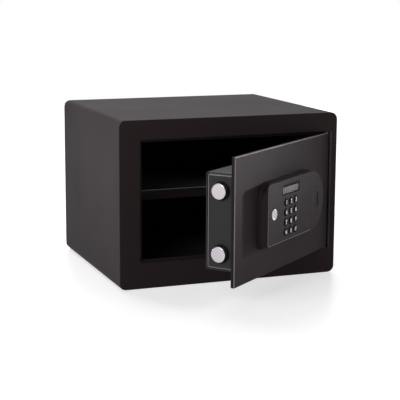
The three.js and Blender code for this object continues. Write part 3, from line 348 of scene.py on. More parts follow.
def piece(name, bm, finishes, node, smooth=35):
    """Turns a mesh in millimetres into a piece that stands for a node and rides on its body."""
    bmesh.ops.recalc_face_normals(bm, faces=bm.faces)
    bmesh.ops.scale(bm, vec=(MM, MM, MM), verts=bm.verts)
    mesh = bpy.data.meshes.new(name)
    bm.to_mesh(mesh)
    bm.free()
    mesh.polygons.foreach_set("use_smooth", [True] * len(mesh.polygons))
    mesh.set_sharp_from_angle(angle=math.radians(smooth))
    for finish in finishes:
        mesh.materials.append(finish)
    made = bpy.data.objects.new(name, mesh)
    bpy.context.scene.collection.objects.link(made)
    if on_door(node):
        made.matrix_world = door_turn
    even = made.modifiers.new("Even normals", "WEIGHTED_NORMAL")
    even.keep_sharp = True
    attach(made, BODY_OF[node])
    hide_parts(node)
    return made


# Colour and nodes
def colour(code):
    """Linear colour of an sRGB hex value."""
    shares = [int(code[place:place + 2], 16) / 255 for place in (1, 3, 5)]
    return tuple([s / 12.92 if s <= 0.04045 else ((s + 0.055) / 1.055) ** 2.4 for s in shares] + [1])


def add(tree, kind, settings=None, links=None):
    """Adds a node with its settings and the outputs linked into it."""
    node = tree.nodes.new(kind)
    for name, value in (settings or {}).items():
        if isinstance(name, str) and hasattr(node, name):
            setattr(node, name, value)
        else:
            node.inputs[name].default_value = value
    for name, source in (links or {}).items():
        tree.links.new(source, node.inputs[name])
    return node


def finish(name, tones, gloss, patch, grain, depth, stretch=(1, 1, 1), **settings):
    """Tone and gloss wander over patches, and grains stand a little proud. Sizes are in millimetres."""
    material = bpy.data.materials.new(name)
    material.use_nodes = True
    tree = material.node_tree
    tree.nodes.clear()
    where = add(tree, "ShaderNodeTexCoord").outputs["Object"]
    patches = add(tree, "ShaderNodeTexNoise", {"Scale": 1 / (patch * MM), "Detail": 2}, {"Vector": where})
    limits = {"From Min": 0.3, "From Max": 0.7, "To Min": gloss[0], "To Max": gloss[1]}
    rough = add(tree, "ShaderNodeMapRange", limits, {"Value": patches.outputs[0]})
    hues = {"data_type": "RGBA", 6: colour(tones[0]), 7: colour(tones[1])}
    tone = add(tree, "ShaderNodeMix", hues, {0: patches.outputs[0]})
    laid = add(tree, "ShaderNodeMapping", {"Scale": stretch}, {"Vector": where})
    fine = {"Scale": 1 / (grain * MM), "Detail": 2}
    grains = add(tree, "ShaderNodeTexNoise", fine, {"Vector": laid.outputs[0]})
    relief = add(tree, "ShaderNodeBump", {"Distance": depth * MM}, {"Height": grains.outputs[0]})
    sockets = {key.replace("_", " "): value for key, value in settings.items()}
    shader = add(tree, "ShaderNodeBsdfPrincipled", sockets, {
        "Base Color": tone.outputs[2], "Roughness": rough.outputs[0], "Normal": relief.outputs[0]})
    add(tree, "ShaderNodeOutputMaterial", links={"Surface": shader.outputs[0]})
    return material


def powder_coated_steel():
    """Mild steel, powder coated in matt graphite: its orange peel scatters most of the shine."""
    # Orange peel is about 0.7 mm wide; it is drawn at 1.5 mm so that a pixel can show it
    return finish("graphite_powder_coat", ("#1f1a1b", "#211b1c"), (0.61, 0.65), 90, 1.5, 0.015,
                  IOR=1.5, Specular_IOR_Level=0.1, Specular_Tint=colour("#ffdce6"))


def edge_highlight_coat():
    """Painted highlight for the graphite coat's rounded edges: paler and shinier than the coat itself."""
    return finish("edge_highlight_coat", ("#6f696a", "#7c7677"), (0.4, 0.5), 12, 1.5, 0.008,
                  IOR=1.5, Specular_IOR_Level=0.4)


def soft_highlight_coat():
    """Fainter painted highlight for the graphite coat's rounded edges: only a little paler than the coat."""
    return finish("soft_highlight_coat", ("#363132", "#3e3839"), (0.52, 0.6), 12, 1.5, 0.01,
                  IOR=1.5, Specular_IOR_Level=0.15)


def satin_coated_sheet():
    """Folded sheet, powder coated in satin grey: smoother than the body, so it gives back more light."""
    return finish("satin_coated_sheet", ("#1c1a1a", "#1f1d1d"), (0.5, 0.56), 30, 1.5, 0.01,
                  IOR=1.5, Specular_IOR_Level=0.25)


def panel_highlight_abs():
    """Painted highlight for the panel's ABS along its left and bottom edges: paler and a little shinier."""
    return finish("panel_highlight_abs", ("#4e4849", "#5a5455"), (0.38, 0.46), 8, 0.9, 0.004,
                  IOR=1.53, Specular_IOR_Level=0.3)


def needled_carpet():
    """Polypropylene felt, needle punched: short matted fibres that drink light and fuzz at the edges."""
    # Fibre tufts are about 0.4 mm; they are drawn at 1.2 mm so that they can show
    return finish("needled_carpet", ("#0d0c0c", "#1c1a1a"), (0.93, 0.97), 1.2, 1.2, 0.5,
                  IOR=1.49, Specular_IOR_Level=0.05, Sheen_Weight=0.04)


def chromed_steel():
    """Turned steel, hard chromed: a bright mirror, faintly ringed by the lathe."""
    return finish("hard_chrome", ("#aca7ac", "#b5b0b5"), (0.09, 0.16), 4, 0.9, 0.003, (1, 0.05, 0.05),
                  Metallic=1.0)


def turned_zinc_alloy():
    """Zinc alloy, turned and satin plated: pale, with fine lathe rings that fan the light out."""
    # Lathe rings are 0.1 mm apart; they are drawn 0.5 mm apart so that they can show
    return finish("satin_turned_cap", ("#a7a2a5", "#b1acaf"), (0.28, 0.36), 3, 0.5, 0.004, (1, 1, 0.06),
                  Metallic=1.0)


def moulded_abs():
    """ABS, injection moulded in a spark-eroded tool: black with a dry, even grain."""
    # The tool's grain is 0.2 mm; it is drawn at 0.9 mm so that it can show
    return finish("moulded_abs", ("#1e191b", "#211b1d"), (0.56, 0.62), 12, 0.9, 0.008,
                  IOR=1.53, Specular_IOR_Level=0.09, Specular_Tint=colour("#ffdce6"))


def key_plastic():
    """ABS under soft-touch lacquer: deep black and dry, with only a broad dim gleam."""
    return finish("soft_touch_key_caps", ("#050506", "#080809"), (0.5, 0.6), 2, 1.5, 0.002,
                  IOR=1.5, Specular_IOR_Level=0.025)


def printed_white():
    """Pad-printed epoxy ink: opaque white, a touch uneven where the pad pressed."""
    return finish("pad_printed_ink", ("#ececee", "#ffffff"), (0.45, 0.55), 1, 0.5, 0.003, IOR=1.52)


def moulded_nylon():
    """Nylon 6, injection moulded: black and slightly waxy."""
    return finish("black_nylon", ("#111112", "#151516"), (0.48, 0.6), 3, 0.8, 0.008,
                  IOR=1.53, Specular_IOR_Level=0.12)


def zinc_plated_steel():
    """Pressed steel, zinc plated: cool silver with cloudy patches."""
    return finish("zinc_plate", ("#8b8e91", "#b2b5b8"), (0.32, 0.5), 7, 1.0, 0.004, Metallic=1.0)


def blackened_steel():
    """Steel, chemically blackened: dark grey with an oily bloom."""
    return finish("blackened_steel", ("#2c2c2e", "#4a4a4d"), (0.35, 0.55), 4, 1.0, 0.004, Metallic=0.9)


def cut_brass():
    """Brass, machined: warm yellow with faint cutter lines."""
    return finish("machined_brass", ("#b39156", "#be9c5f"), (0.25, 0.42), 2, 0.6, 0.005, (1, 1, 0.08),
                  Metallic=1.0)


def glass_epoxy_board():
    """Glass-epoxy circuit board under green solder resist: glossy, with the weave just telling."""
    return finish("green_circuit_board", ("#16402a", "#22573a"), (0.26, 0.34), 1.0, 0.8, 0.01, (0.3, 1, 1),
                  IOR=1.55)


def cell_sleeve():
    """Battery sleeve, shrunk PVC film: dark blue and glossy, with the shrink's slow ripple."""
    return finish("cell_sleeve", ("#22304a", "#2c3d5c"), (0.2, 0.34), 8, 5.0, 0.03, IOR=1.53)


def red_button_plastic():
    """ABS, moulded in red: a soft sheen on a small round cap."""
    return finish("red_abs", ("#9c2323", "#ad2c2c"), (0.32, 0.38), 2, 0.9, 0.004, IOR=1.53)


def display_film():
    """Liquid crystal glass at rest: a grey-green reflecting film with a faint grain."""
    return finish("display_film", ("#272623", "#2d2c28"), (0.45, 0.5), 14, 2, 0.001,
                  IOR=1.5, Specular_IOR_Level=0.15)


def window_acrylic():
    """Acrylic under an anti-glare film: clear, and it mirrors much less than bare acrylic would."""
    return finish("clear_acrylic", ("#fafafa", "#ffffff"), (0, 0.02), 8, 12, 0.001,
                  Transmission_Weight=1.0, IOR=1.25)


def reader_glass():
    """Optical glass under a matt hard coating: dark and even, a little smudged by fingers."""
    return finish("reader_glass", ("#171515", "#1a1818"), (0.5, 0.58), 3, 6, 0.003,
                  IOR=1.52, Specular_IOR_Level=0.08)


GRAPHITE = powder_coated_steel()
# The next two finishes paint highlights on the rounded edges of the graphite coat
EDGE_HIGHLIGHT = edge_highlight_coat()
SOFT_HIGHLIGHT = soft_highlight_coat()
BOX_COAT = satin_coated_sheet()
CARPET = needled_carpet()
CHROME = chromed_steel()
SATIN = turned_zinc_alloy()
ABS = moulded_abs()
# Paints a highlight along the control panel's left and bottom edges
PANEL_HIGHLIGHT = panel_highlight_abs()
KEYCAP = key_plastic()
INK = printed_white()
NYLON = moulded_nylon()
ZINC = zinc_plated_steel()
BLACKENED = blackened_steel()
BRASS = cut_brass()
BOARD = glass_epoxy_board()
SLEEVE = cell_sleeve()
RED = red_button_plastic()
FILM = display_film()
ACRYLIC = window_acrylic()
READER = reader_glass()
FINISH_OF_SLOT = {
    "powder_coat": GRAPHITE,
    "carpet": CARPET,
    "zinc_steel": ZINC,
    "dark_steel": BLACKENED,
    "chrome": CHROME,
    "satin_metal": SATIN,
    "brass": BRASS,
    "black_abs": ABS,
    "key_plastic": KEYCAP,
    "nylon": NYLON,
    "display_glass": ACRYLIC,
    "display_panel": FILM,
    "sensor_glass": READER,
    "circuit_board": BOARD,
    "cell_wrap": SLEEVE,
    "red_plastic": RED,
}


# Cabinet
def cabinet_outline(low, high, inset):
    return sunken(low, high, inset, [CABINET_CORNER - inset] * 4, 14)


def cabinet_wrap():
    """Body sheet bent round four corners, with two anchor holes in its base."""
    low, high = extents("body_shell")
    bm = bmesh.new()
    sections = [(0, low.y)]
    sections += [(inset, high.y - setback) for inset, setback in reversed(fillet(WRAP_EDGE))]
    sections += [(WRAP_SHEET - inset, high.y - setback) for inset, setback in fillet(WRAP_EDGE)]
    sections += [(WRAP_SHEET, low.y)]
    rings = [ring(bm, cabinet_outline(low, high, inset), y) for inset, y in sections]
    skin(bm, rings + rings[:1])
    front = extents("front_frame")[0].y
    hole_y = front + BASE_HOLE_SETBACK
    holes = [rod(lying_flat, x, hole_y, -1, WRAP_SHEET + 1, FIXING_HOLE)
             for x in (-FIXING_SPACING / 2, FIXING_SPACING / 2)]
    piece("cabinet_wrap", carved(bm, holes), [GRAPHITE], "body_shell")


def front_surround():
    """Front plate with the door opening and the sockets for the hinge pins. Two of its edges carry a faint painted
    highlight.
    """
    low, high = extents("front_frame")

    def opening(inset):
        return rounded(
            low.x + OPENING_LEFT + inset, high.x - OPENING_RIGHT - inset,
            low.z + OPENING_BOTTOM + inset, high.z - OPENING_TOP - inset, [OPENING_CORNER - inset] * 4, 4)

    bm = plate(lambda inset: cabinet_outline(low, high, inset), [opening], low.y, high.y,
               SURROUND_EDGE, OPENING_EDGE, 0.01)
    bmesh.ops.recalc_face_normals(bm, faces=bm.faces)
    # The left outer edge and the opening's right edge take a faint painted highlight
    highlight_edges(bm, lambda middle, normal: normal.y < 0 and (
        middle.x < low.x + CABINET_CORNER / 2 or 0 < middle.x - high.x + OPENING_RIGHT < OPENING_EDGE + 0.1))
    pin = pivot / MM
    sill = low.z + OPENING_BOTTOM
    lintel = high.z - OPENING_TOP
    sockets = [
        rod(lying_flat, pin.x, pin.y, sill - PIN_DEPTH, sill + 1, PIN_HOLE),
        rod(lying_flat, pin.x, pin.y, lintel - 1, lintel + PIN_DEPTH, PIN_HOLE),
    ]
    piece("front_surround", carved(bm, sockets), [GRAPHITE, SOFT_HIGHLIGHT], "front_frame")


def rear_panel():
    """Flat back with two anchor holes."""
    low, high = extents("back_panel")
    corner = CABINET_CORNER - WRAP_SHEET

    def outline(inset):
        return sunken(low, high, inset, [corner - inset] * 4, 10)

    holes = [
        (lambda inset, x=x: circle(x, BACK_HOLE_HEIGHT, FIXING_HOLE - inset))
        for x in (-FIXING_SPACING / 2, FIXING_SPACING / 2)
    ]
    piece("rear_panel", plate(outline, holes, high.y, low.y, 0.4, 0.3), [GRAPHITE], "back_panel")


def felt(name, node, holes=()):
    """Carpet pad: its top and edges rise and fall a little, as cut felt does."""
    low, high = extents(node)
    pitch = 3
    lump = 4
    rise = 0.35
    trimmed = 0.5
    columns = round((high.x - low.x) / pitch)
    rows = round((high.y - low.y) / pitch)
    bm = bmesh.new()
    grid = []
    for row in range(rows + 1):
        line = []
        for column in range(columns + 1):
            x = low.x + (high.x - low.x) * column / columns
            y = low.y + (high.y - low.y) * row / rows
            border = row in (0, rows) or column in (0, columns)
            lift = rise * noise.noise((x / lump, y / lump, 0)) - rise
            line.append(bm.verts.new((x, y, high.z + lift - (trimmed if border else 0))))
        grid.append(line)
    for near, far in zip(grid, grid[1:]):
        for start in range(columns):
            bm.faces.new((near[start], near[start + 1], far[start + 1], far[start]))
    edge = grid[0][:-1] + [line[-1] for line in grid[:-1]]
    edge += grid[-1][:0:-1] + [line[0] for line in grid[:0:-1]]
    foot = [bm.verts.new((vertex.co.x, vertex.co.y, low.z)) for vertex in edge]
    skin(bm, [edge, foot])
    cap(bm, foot)
    if holes:
        cutters = [rod(lying_flat, x, y, low.z - 1, high.z + 1, FIXING_HOLE + 1) for x, y in holes]
        bm = carved(bm, cutters)
    piece(name, bm, [CARPET], node, smooth=60)


def shelf_edge_light_and_shade():
    """Black edging over the front of the shelf and its pad: a nose with a painted highlight above a black skirt
    that paints the shade under the shelf's front edge.
    """
    low, high = extents("shelf")
    pad = extents("shelf_mat")[0].y
    wall, nose, step, shade_skirt = 0.5, 0.9, 0.3, 4.5
    profile = [
        (pad - wall, high.z + nose), (pad - wall, high.z - step),
        (low.y - wall, high.z - step), (low.y - wall, high.z - shade_skirt),
        (low.y, high.z - shade_skirt), (low.y, high.z), (pad, high.z), (pad, high.z + nose),
    ]
    bm = bmesh.new()
    ends = [ring(bm, profile, x, facing_left) for x in (low.x, high.x)]
    skin(bm, ends)
    cap(bm, ends[0])
    cap(bm, ends[1])
    # The nose takes the painted highlight; the black skirt below stands in for shade
    for face in bm.faces:
        face.material_index = int(face.calc_center_median().y < pad)
    piece("shelf_edge_light_and_shade", bm, [NYLON, EDGE_HIGHLIGHT], "shelf_mat")


# Door
def door_leaf():
    """Laser-cut door plate with holes for the lock and the cable, and sockets for the hinge pins."""
    low, high = extents("door_plate")
    lock = sum(extents("lock_cylinder"), Vector()) / 2
    cable_low, cable_high = extents("keypad_cable")
    cable_x = cable_low.x + CABLE_RADIUS
    cable_z = cable_high.z - CABLE_RADIUS

    def outline(inset):
        return sunken(low, high, inset, [DOOR_CORNER] * 4, 4)

    holes = [
        lambda inset: circle(lock.x, lock.z, LOCK_HOLE - inset),
        lambda inset: circle(cable_x, cable_z, CABLE_HOLE - inset, 32),
    ]
    bm = plate(outline, holes, low.y, high.y, DOOR_EDGE, 0.2, 0.3)
    pin = pivot / MM
    sockets = [
        rod(lying_flat, pin.x, pin.y, low.z - 1, low.z + PIN_DEPTH, PIN_HOLE),
        rod(lying_flat, pin.x, pin.y, high.z - PIN_DEPTH, high.z + 1, PIN_HOLE),
    ]
    bmesh.ops.recalc_face_normals(bm, faces=bm.faces)
    # The door's left and top front edges take a painted highlight
    highlight_edges(bm, lambda middle, normal: normal.y < 0 and (
        middle.x < low.x + DOOR_EDGE or middle.z > high.z - DOOR_EDGE))
    piece("door_leaf", carved(bm, sockets), [GRAPHITE, EDGE_HIGHLIGHT], "door_plate")


def lock_box():
    """The two folded sheets of the lock box: the side that the bolts leave by, and the cover."""
    low, high = extents("lock_box_side")
    bolts = [extents(f"locking_bolt_{level}") for level in ("upper", "lower")]
    openings = [circle((a.y + b.y) / 2, (a.z + b.z) / 2, BUSH_HOLE) for a, b in bolts]
    side = tray(low.y, high.y, low.z, high.z, high.x - low.x, openings,
                lambda u, v, w: facing_left(u, v, low.x + w))
    screws = [extents(f"cover_screw_{number}") for number in (1, 2, 3)]
    places = [((a.x + b.x) / 2, (a.z + b.z) / 2) for a, b in screws]
    holes = [rod(facing_front, x, z, high.y - 5, high.y + 5, SCREW_HOLE, 24) for x, z in places[:2]]
    bmesh.ops.recalc_face_normals(side, faces=side.faces)
    # The side sheet's folded edges, where they face left, take a painted highlight
    highlight_edges(side, lambda middle, normal: normal.x < 0 and (
        middle.y > high.y - BOX_BEND or middle.z > high.z - BOX_BEND or middle.z < low.z + BOX_BEND))
    piece("lock_box_side_sheet", carved(side, holes), [BOX_COAT, EDGE_HIGHLIGHT], "lock_box_side")

    low, high = extents("lock_box_cover")
    case_low, case_high = extents("battery_case")
    button_low, button_high = extents("reset_button")
    button_x = (button_low.x + button_high.x) / 2
    button_z = (button_low.z + button_high.z) / 2
    openings = [circle(x, z, SCREW_HOLE, 24) for x, z in places]
    openings.append(circle(button_x, button_z, (button_high.x - button_low.x) / 2 + BUTTON_CLEARANCE))
    openings.append(rounded(case_low.x + BOX_SHEET, case_high.x - BOX_SHEET,
                            case_low.z + BOX_SHEET, case_high.z - BOX_SHEET, [0.8] * 4, 3))
    cover = tray(low.x, high.x, low.z, high.z, high.y - low.y, openings,
                 lambda u, v, w: facing_front(u, v, high.y - w))
    piece("lock_box_cover_sheet", cover, [BOX_COAT], "lock_box_cover")


def chromed_bolts():
    """Round bolts with an eased nose, each in a flanged bush."""
    for level in ("upper", "lower"):
        node = f"locking_bolt_{level}"
        low, high = extents(node)
        y = (low.y + high.y) / 2
        z = (low.z + high.z) / 2
        radius = (high.z - low.z) / 2
        shoulder = high.x - BOLT_SPIGOT_LENGTH
        profile = softened([
            ((0, low.x), 0),
            ((radius, low.x), 1.3),
            ((radius, shoulder), 0.4),
            ((BOLT_SPIGOT, shoulder), 0),
            ((BOLT_SPIGOT, high.x), 0.4),
            ((0, high.x), 0),
        ], 5)
        bm = turned(profile, lambda u, v, w: (w, y + u, z + v), 72)
        piece(f"bolt_{level}", bm, [CHROME], node)
        bush_low, bush_high = extents(f"bolt_bush_{level}")
        bore = radius + BOLT_CLEARANCE
        sleeve = bore + BUSH_WALL
        flange = (bush_high.z - bush_low.z) / 2
        seat = bush_low.x + BUSH_WALL
        profile = softened([
            ((bore, bush_low.x), 0.35),
            ((sleeve, bush_low.x), 0.35),
            ((sleeve, seat), 0),
            ((flange, seat), 0),
            ((flange, seat + BUSH_FLANGE), 0),
            ((sleeve, seat + BUSH_FLANGE), 0),
            ((sleeve, bush_high.x), 0),
            ((bore, bush_high.x), 0),
        ], 3)
        bush = bmesh.new()
        rings = [[bush.verts.new((along, y + u, z + v)) for u, v in circle(0, 0, size, 64)]
                 for size, along in profile]
        skin(bush, rings + rings[:1])
        piece(f"bush_{level}", bush, [NYLON], f"bolt_bush_{level}")


def cover_screws():
    """Pan-head screws with a cross recess."""
    shank = 1.7
    head_height = 1.6
    recess_depth = 1.1
    for number in (1, 2, 3):
        node = f"cover_screw_{number}"
        low, high = extents(node)
        x = (low.x + high.x) / 2
        z = (low.z + high.z) / 2
        head = (high.x - low.x) / 2
        seat = high.y - head_height
        profile = softened([
            ((0, low.y), 0),
            ((shank, low.y), 0.3),
            ((shank, seat), 0),
            ((head, seat), 0.2),
            ((head, high.y - 0.5), 0.45),
            ((head * 0.5, high.y), 0.5),
            ((0, high.y), 0),
        ])
        bm = turned(profile, lambda u, v, w: (x + u, w, z + v), 40)
        slots = []
        for long, short in ((head * 0.62, 0.4), (0.4, head * 0.62)):
            slot = bmesh.new()
            ends = [ring(slot, rounded(x - long, x + long, z - short, z + short, [0.2] * 4, 3), y)
                    for y in (high.y - recess_depth, high.y + 1)]
            skin(slot, ends)
            cap(slot, ends[0])
            cap(slot, ends[1])
            slots.append(slot)
        piece(f"pan_head_screw_{number}", carved(bm, slots), [BLACKENED], node)


def battery_lid():
    """Moulded lid with a row of grip ribs, on an inner rim that centres it."""
    low, high = extents("battery_cover")
    rim_depth = 1.2

    def outline(inset):
        return sunken(low, high, inset, [LID_CORNER - inset] * 4, 6)

    bm = plate(outline, [], high.y, low.y + rim_depth, 0.8, 0.3, 0.2)
    spigot = [ring(bm, sunken(low, high, LID_CORNER + 0.6, [1] * 4, 3), y)
              for y in (low.y, low.y + rim_depth + 0.4)]
    skin(bm, spigot)
    cap(bm, spigot[0])
    cap(bm, spigot[1])
    middle = (low.z + high.z) / 2
    ribs, first_rib, rib_spacing = 6, 6, 2.4
    rib_sections = ((0.7, 9, -0.2), (0.7, 9, 0.25), (0.3, 8.6, 0.55))
    for rib in range(ribs):
        x = high.x - first_rib - rib_spacing * rib
        loops = []
        for half, tall, out in rib_sections:
            bar = rounded(x - half, x + half, middle - tall, middle + tall, [half * 0.9] * 4, 3)
            loops.append(ring(bm, bar, high.y + out))
        skin(bm, loops)
        cap(bm, loops[0])
        cap(bm, loops[-1])
    piece("battery_lid", bm, [ABS], "battery_cover")


def reset_cap():
    """Small button with a slightly dished top, on its stem."""
    low, high = extents("reset_button")
    x = (low.x + high.x) / 2
    z = (low.z + high.z) / 2
    radius = (high.x - low.x) / 2
    stem = 2.6
    shoulder = low.y + 4
    profile = softened([
        ((0, low.y), 0),
        ((stem, low.y), 0.3),
        ((stem, shoulder), 0),
        ((radius, shoulder), 0.3),
        ((radius, high.y), 0.6),
        ((0, high.y - 0.25), 0),
    ])
    piece("reset_cap", turned(profile, lambda u, v, w: (x + u, w, z + v)), [RED], "reset_button")


# Control panel
def panel_outline(low, high, inset, end_inset, corners, wall=0):
    upper_left, right, lower_left = [corner - wall for corner in corners]
    return rounded(
        low.x + inset + wall, high.x - end_inset - wall,
        low.z + inset + wall, high.z - inset * TOP_SHARE - wall, (right, right, upper_left, lower_left), 14)


def panel_moulding():
    """Moulded housing: an upright step, a sloped band and a flat face with its openings."""
    low, high = extents("control_housing")
    deep = high.y - low.y
    keys = [extents(node) for node in frame["nodes"] if node.startswith("key_") and node != "key_cover"]
    display_low, display_high = extents("display_window")
    reader_low, reader_high = extents("fingerprint_sensor")
    cover_low, cover_high = extents("key_cover")
    bm = bmesh.new()

    outer = [
        ring(bm, panel_outline(low, high, inset, end, corners), high.y - out)
        for inset, end, *corners, out in softened([
            ((0, 0, *FOOT_CORNERS, 0), 0),
            ((STEP_INSET, STEP_END_INSET, *FOOT_CORNERS, PANEL_STEP), STEP_EDGE),
            ((FACE_INSET, FACE_END_INSET, *FACE_CORNERS, deep), FACE_EDGE),
            ((FACE_INSET + 6, FACE_END_INSET + 6, *FACE_CORNERS, deep), 0),
        ])[:-1]
    ]
    inner = [
        ring(bm, panel_outline(low, high, inset, end, corners, PANEL_WALL), high.y - out)
        for inset, end, corners, out in (
            (FACE_INSET, FACE_END_INSET, FACE_CORNERS, deep - FACE_WALL),
            (STEP_INSET, STEP_END_INSET, FOOT_CORNERS, PANEL_STEP),
            (0, 0, FOOT_CORNERS, 0),
        )
    ]
    skin(bm, outer)
    skin(bm, inner)
    face = low.y
    inside = low.y + FACE_WALL
    openings = []

    def opening(outline, lip, steps):
        """Hole with an eased lip. Steps are further (inset, depth) pairs inwards."""
        sections = [(-inset, face + setback) for inset, setback in fillet(lip, 3)]
        sections += steps
        openings.append([ring(bm, outline(inset), y) for inset, y in sections])
        skin(bm, openings[-1])

    for key_low, key_high in keys:
        x = (key_low.x + key_high.x) / 2
        z = (key_low.z + key_high.z) / 2
        opening(lambda inset: circle(x, z, KEY_HOLE - inset, 40), 0.35, [(0, inside)])
    gap = DISPLAY_GAP
    sunk = display_high.y + gap

    def display_outline(inset):
        return rounded(
            display_low.x - gap + inset, display_high.x + gap - inset,
            display_low.z - gap + inset, display_high.z + gap - inset, [max(0.8 - inset, 0.3)] * 4, 4)

    ledge = gap + DISPLAY_BORDER
    opening(display_outline, 0.35, [(0, sunk), (ledge, sunk), (ledge, inside)])

    def reader_outline(inset):
        trim = READER_LIP + inset - gap
        return rounded(reader_low.x + trim, reader_high.x - trim, reader_low.z + trim, reader_high.z - trim,
                       [2] * 4, 6)

    opening(reader_outline, 0.6, [(0, inside)])
    cover_x = (cover_low.x + cover_high.x) / 2
    cover_z = (cover_low.z + cover_high.z) / 2
    cover_hole = (cover_high.x - cover_low.x) / 2 + COVER_GAP
    seat = cover_hole - PLUG_HOLE
    opening(lambda inset: circle(cover_x, cover_z, cover_hole - inset, 56), 0.3,
            [(0, face + COVER_RECESS), (seat, face + COVER_RECESS), (seat, inside)])
    cap(bm, outer[-1], *[hole[0] for hole in openings])
    cap(bm, inner[0], *[hole[-1] for hole in openings])
    cap(bm, outer[0], inner[-1])
    bmesh.ops.recalc_face_normals(bm, faces=bm.faces)
    left = low.x + FACE_INSET
    foot = low.z + FACE_INSET

    def picks_highlight(middle, normal):
        """Painted highlight on the left edge, and on the bottom edge up to where it turns upwards."""
        eased = normal.y < 0 and 0.02 < middle.y - face < 1
        below = middle.z < foot + FACE_EDGE and middle.x < left + HIGHLIGHT_LENGTH
        return eased and (middle.x < left + FACE_EDGE or below)

    highlight_edges(bm, picks_highlight)
    piece("panel_moulding", bm, [ABS, PANEL_HIGHLIGHT], "control_housing", smooth=32)


def legend(bm, text, scale, weight, x, z, y):
    """Printed character centred on a key. Scale 1 makes a figure LEGEND_HEIGHT tall."""
    curve = bpy.data.curves.new("legend", "FONT")
    curve.body = text
    curve.size = scale * LEGEND_HEIGHT / 0.69
    curve.offset = weight
    curve.extrude = LEGEND_DEPTH / 2
    curve.resolution_u = 4
    item = bpy.data.objects.new("legend", curve)
    bpy.context.scene.collection.objects.link(item)
    mesh = bpy.data.meshes.new_from_object(item.evaluated_get(bpy.context.evaluated_depsgraph_get()))
    bpy.data.objects.remove(item)
    bpy.data.curves.remove(curve)
    across = [vertex.co.x for vertex in mesh.vertices]
    tall = [vertex.co.y for vertex in mesh.vertices]
    middle_x = (min(across) + max(across)) / 2
    middle_z = (min(tall) + max(tall)) / 2
    figure = bmesh.new()
    figure.from_mesh(mesh)
    bmesh.ops.remove_doubles(figure, verts=figure.verts, dist=1e-4)
    for vertex in figure.verts:
        u, v, w = vertex.co
        vertex.co = (x + u - middle_x, y - w, z + v - middle_z)
    for face in figure.faces:
        face.material_index = 1
    figure.to_mesh(mesh)
    figure.free()
    bm.from_mesh(mesh)
    bpy.data.meshes.remove(mesh)


def key_caps():
    """Round caps, each with its printed character, as (text, scale, weight)."""
    signs = {"star": ("*", 1.6, 0.2), "hash": ("#", 1, 0.1)}
    for node in sorted(frame["nodes"]):
        if not node.startswith("key_") or node == "key_cover":
            continue
        low, high = extents(node)
        x = (low.x + high.x) / 2
        z = (low.z + high.z) / 2
        flange = (high.x - low.x) / 2
        radius = flange - KEY_LIP
        lip = high.y - KEY_LIP_HEIGHT
        profile = softened([
            ((0, high.y), 0),
            ((flange, high.y), 0.2),
            ((flange, lip), 0.2),
            ((radius, lip), 0),
            ((radius, low.y + 0.35), 0.5),
            ((radius * 0.55, low.y), 1.2),
            ((0, low.y), 0),
        ])
        bm = turned(profile, lambda u, v, w: (x + u, w, z + v), 40)
        name = node.removeprefix("key_")
        legend(bm, *signs.get(name, (name, 1, 0.3)), x, z, low.y - LEGEND_DEPTH / 4)
        piece(f"cap_{name}", bm, [KEYCAP, INK], node)


def key_cover_disc():
    """Turned cap over the override lock: a low rim round a flat, bare face."""
    low, high = extents("key_cover")
    x = (low.x + high.x) / 2
    z = (low.z + high.z) / 2
    radius = (high.x - low.x) / 2
    profile = softened([
        ((0, high.y), 0),
        ((radius, high.y), 0.2),
        ((radius, low.y), 0.5),
        ((radius - 1.1, low.y), 0.2),
        ((radius - 1.5, low.y + 0.22), 0.2),
        ((0, low.y + 0.12), 0),
    ])
    piece("turned_cap", turned(profile, lambda u, v, w: (x + u, w, z + v), 72), [SATIN], "key_cover")


def display():
    """Acrylic window with a printed border, over the display glass. The border is drawn wider along the top, where
    it also paints the shade of the window's recess.
    """
    low, high = extents("display_window")

    def outline(inset):
        return sunken(low, high, inset, [0.6] * 4, 4)

    def clear(inset):
        return rounded(low.x + DISPLAY_BORDER + inset, high.x - DISPLAY_BORDER - inset,
                       low.z + DISPLAY_BORDER + inset, high.z - DISPLAY_TOP_BORDER_AND_SHADE - inset, [0.5] * 4, 4)

    piece("display_pane", plate(outline, [], low.y, high.y, 0.15, 0.1, 0.1), [ACRYLIC], "display_window")
    # Black border in front of the pane; its wider top edge is painted shade
    border = plate(lambda inset: outline(inset - 0.25), [clear], low.y - 0.08, low.y - 0.01, 0.01, 0.01, 0.01)
    piece("display_border_and_shade", border, [KEYCAP], "display_window")
    low, high = extents("display_module")

    glass = plate(lambda inset: sunken(low, high, inset, [0.5] * 4, 3), [], low.y, high.y, 0.2, 0.1, 0.1)
    piece("display_glass", glass, [FILM], "display_module")


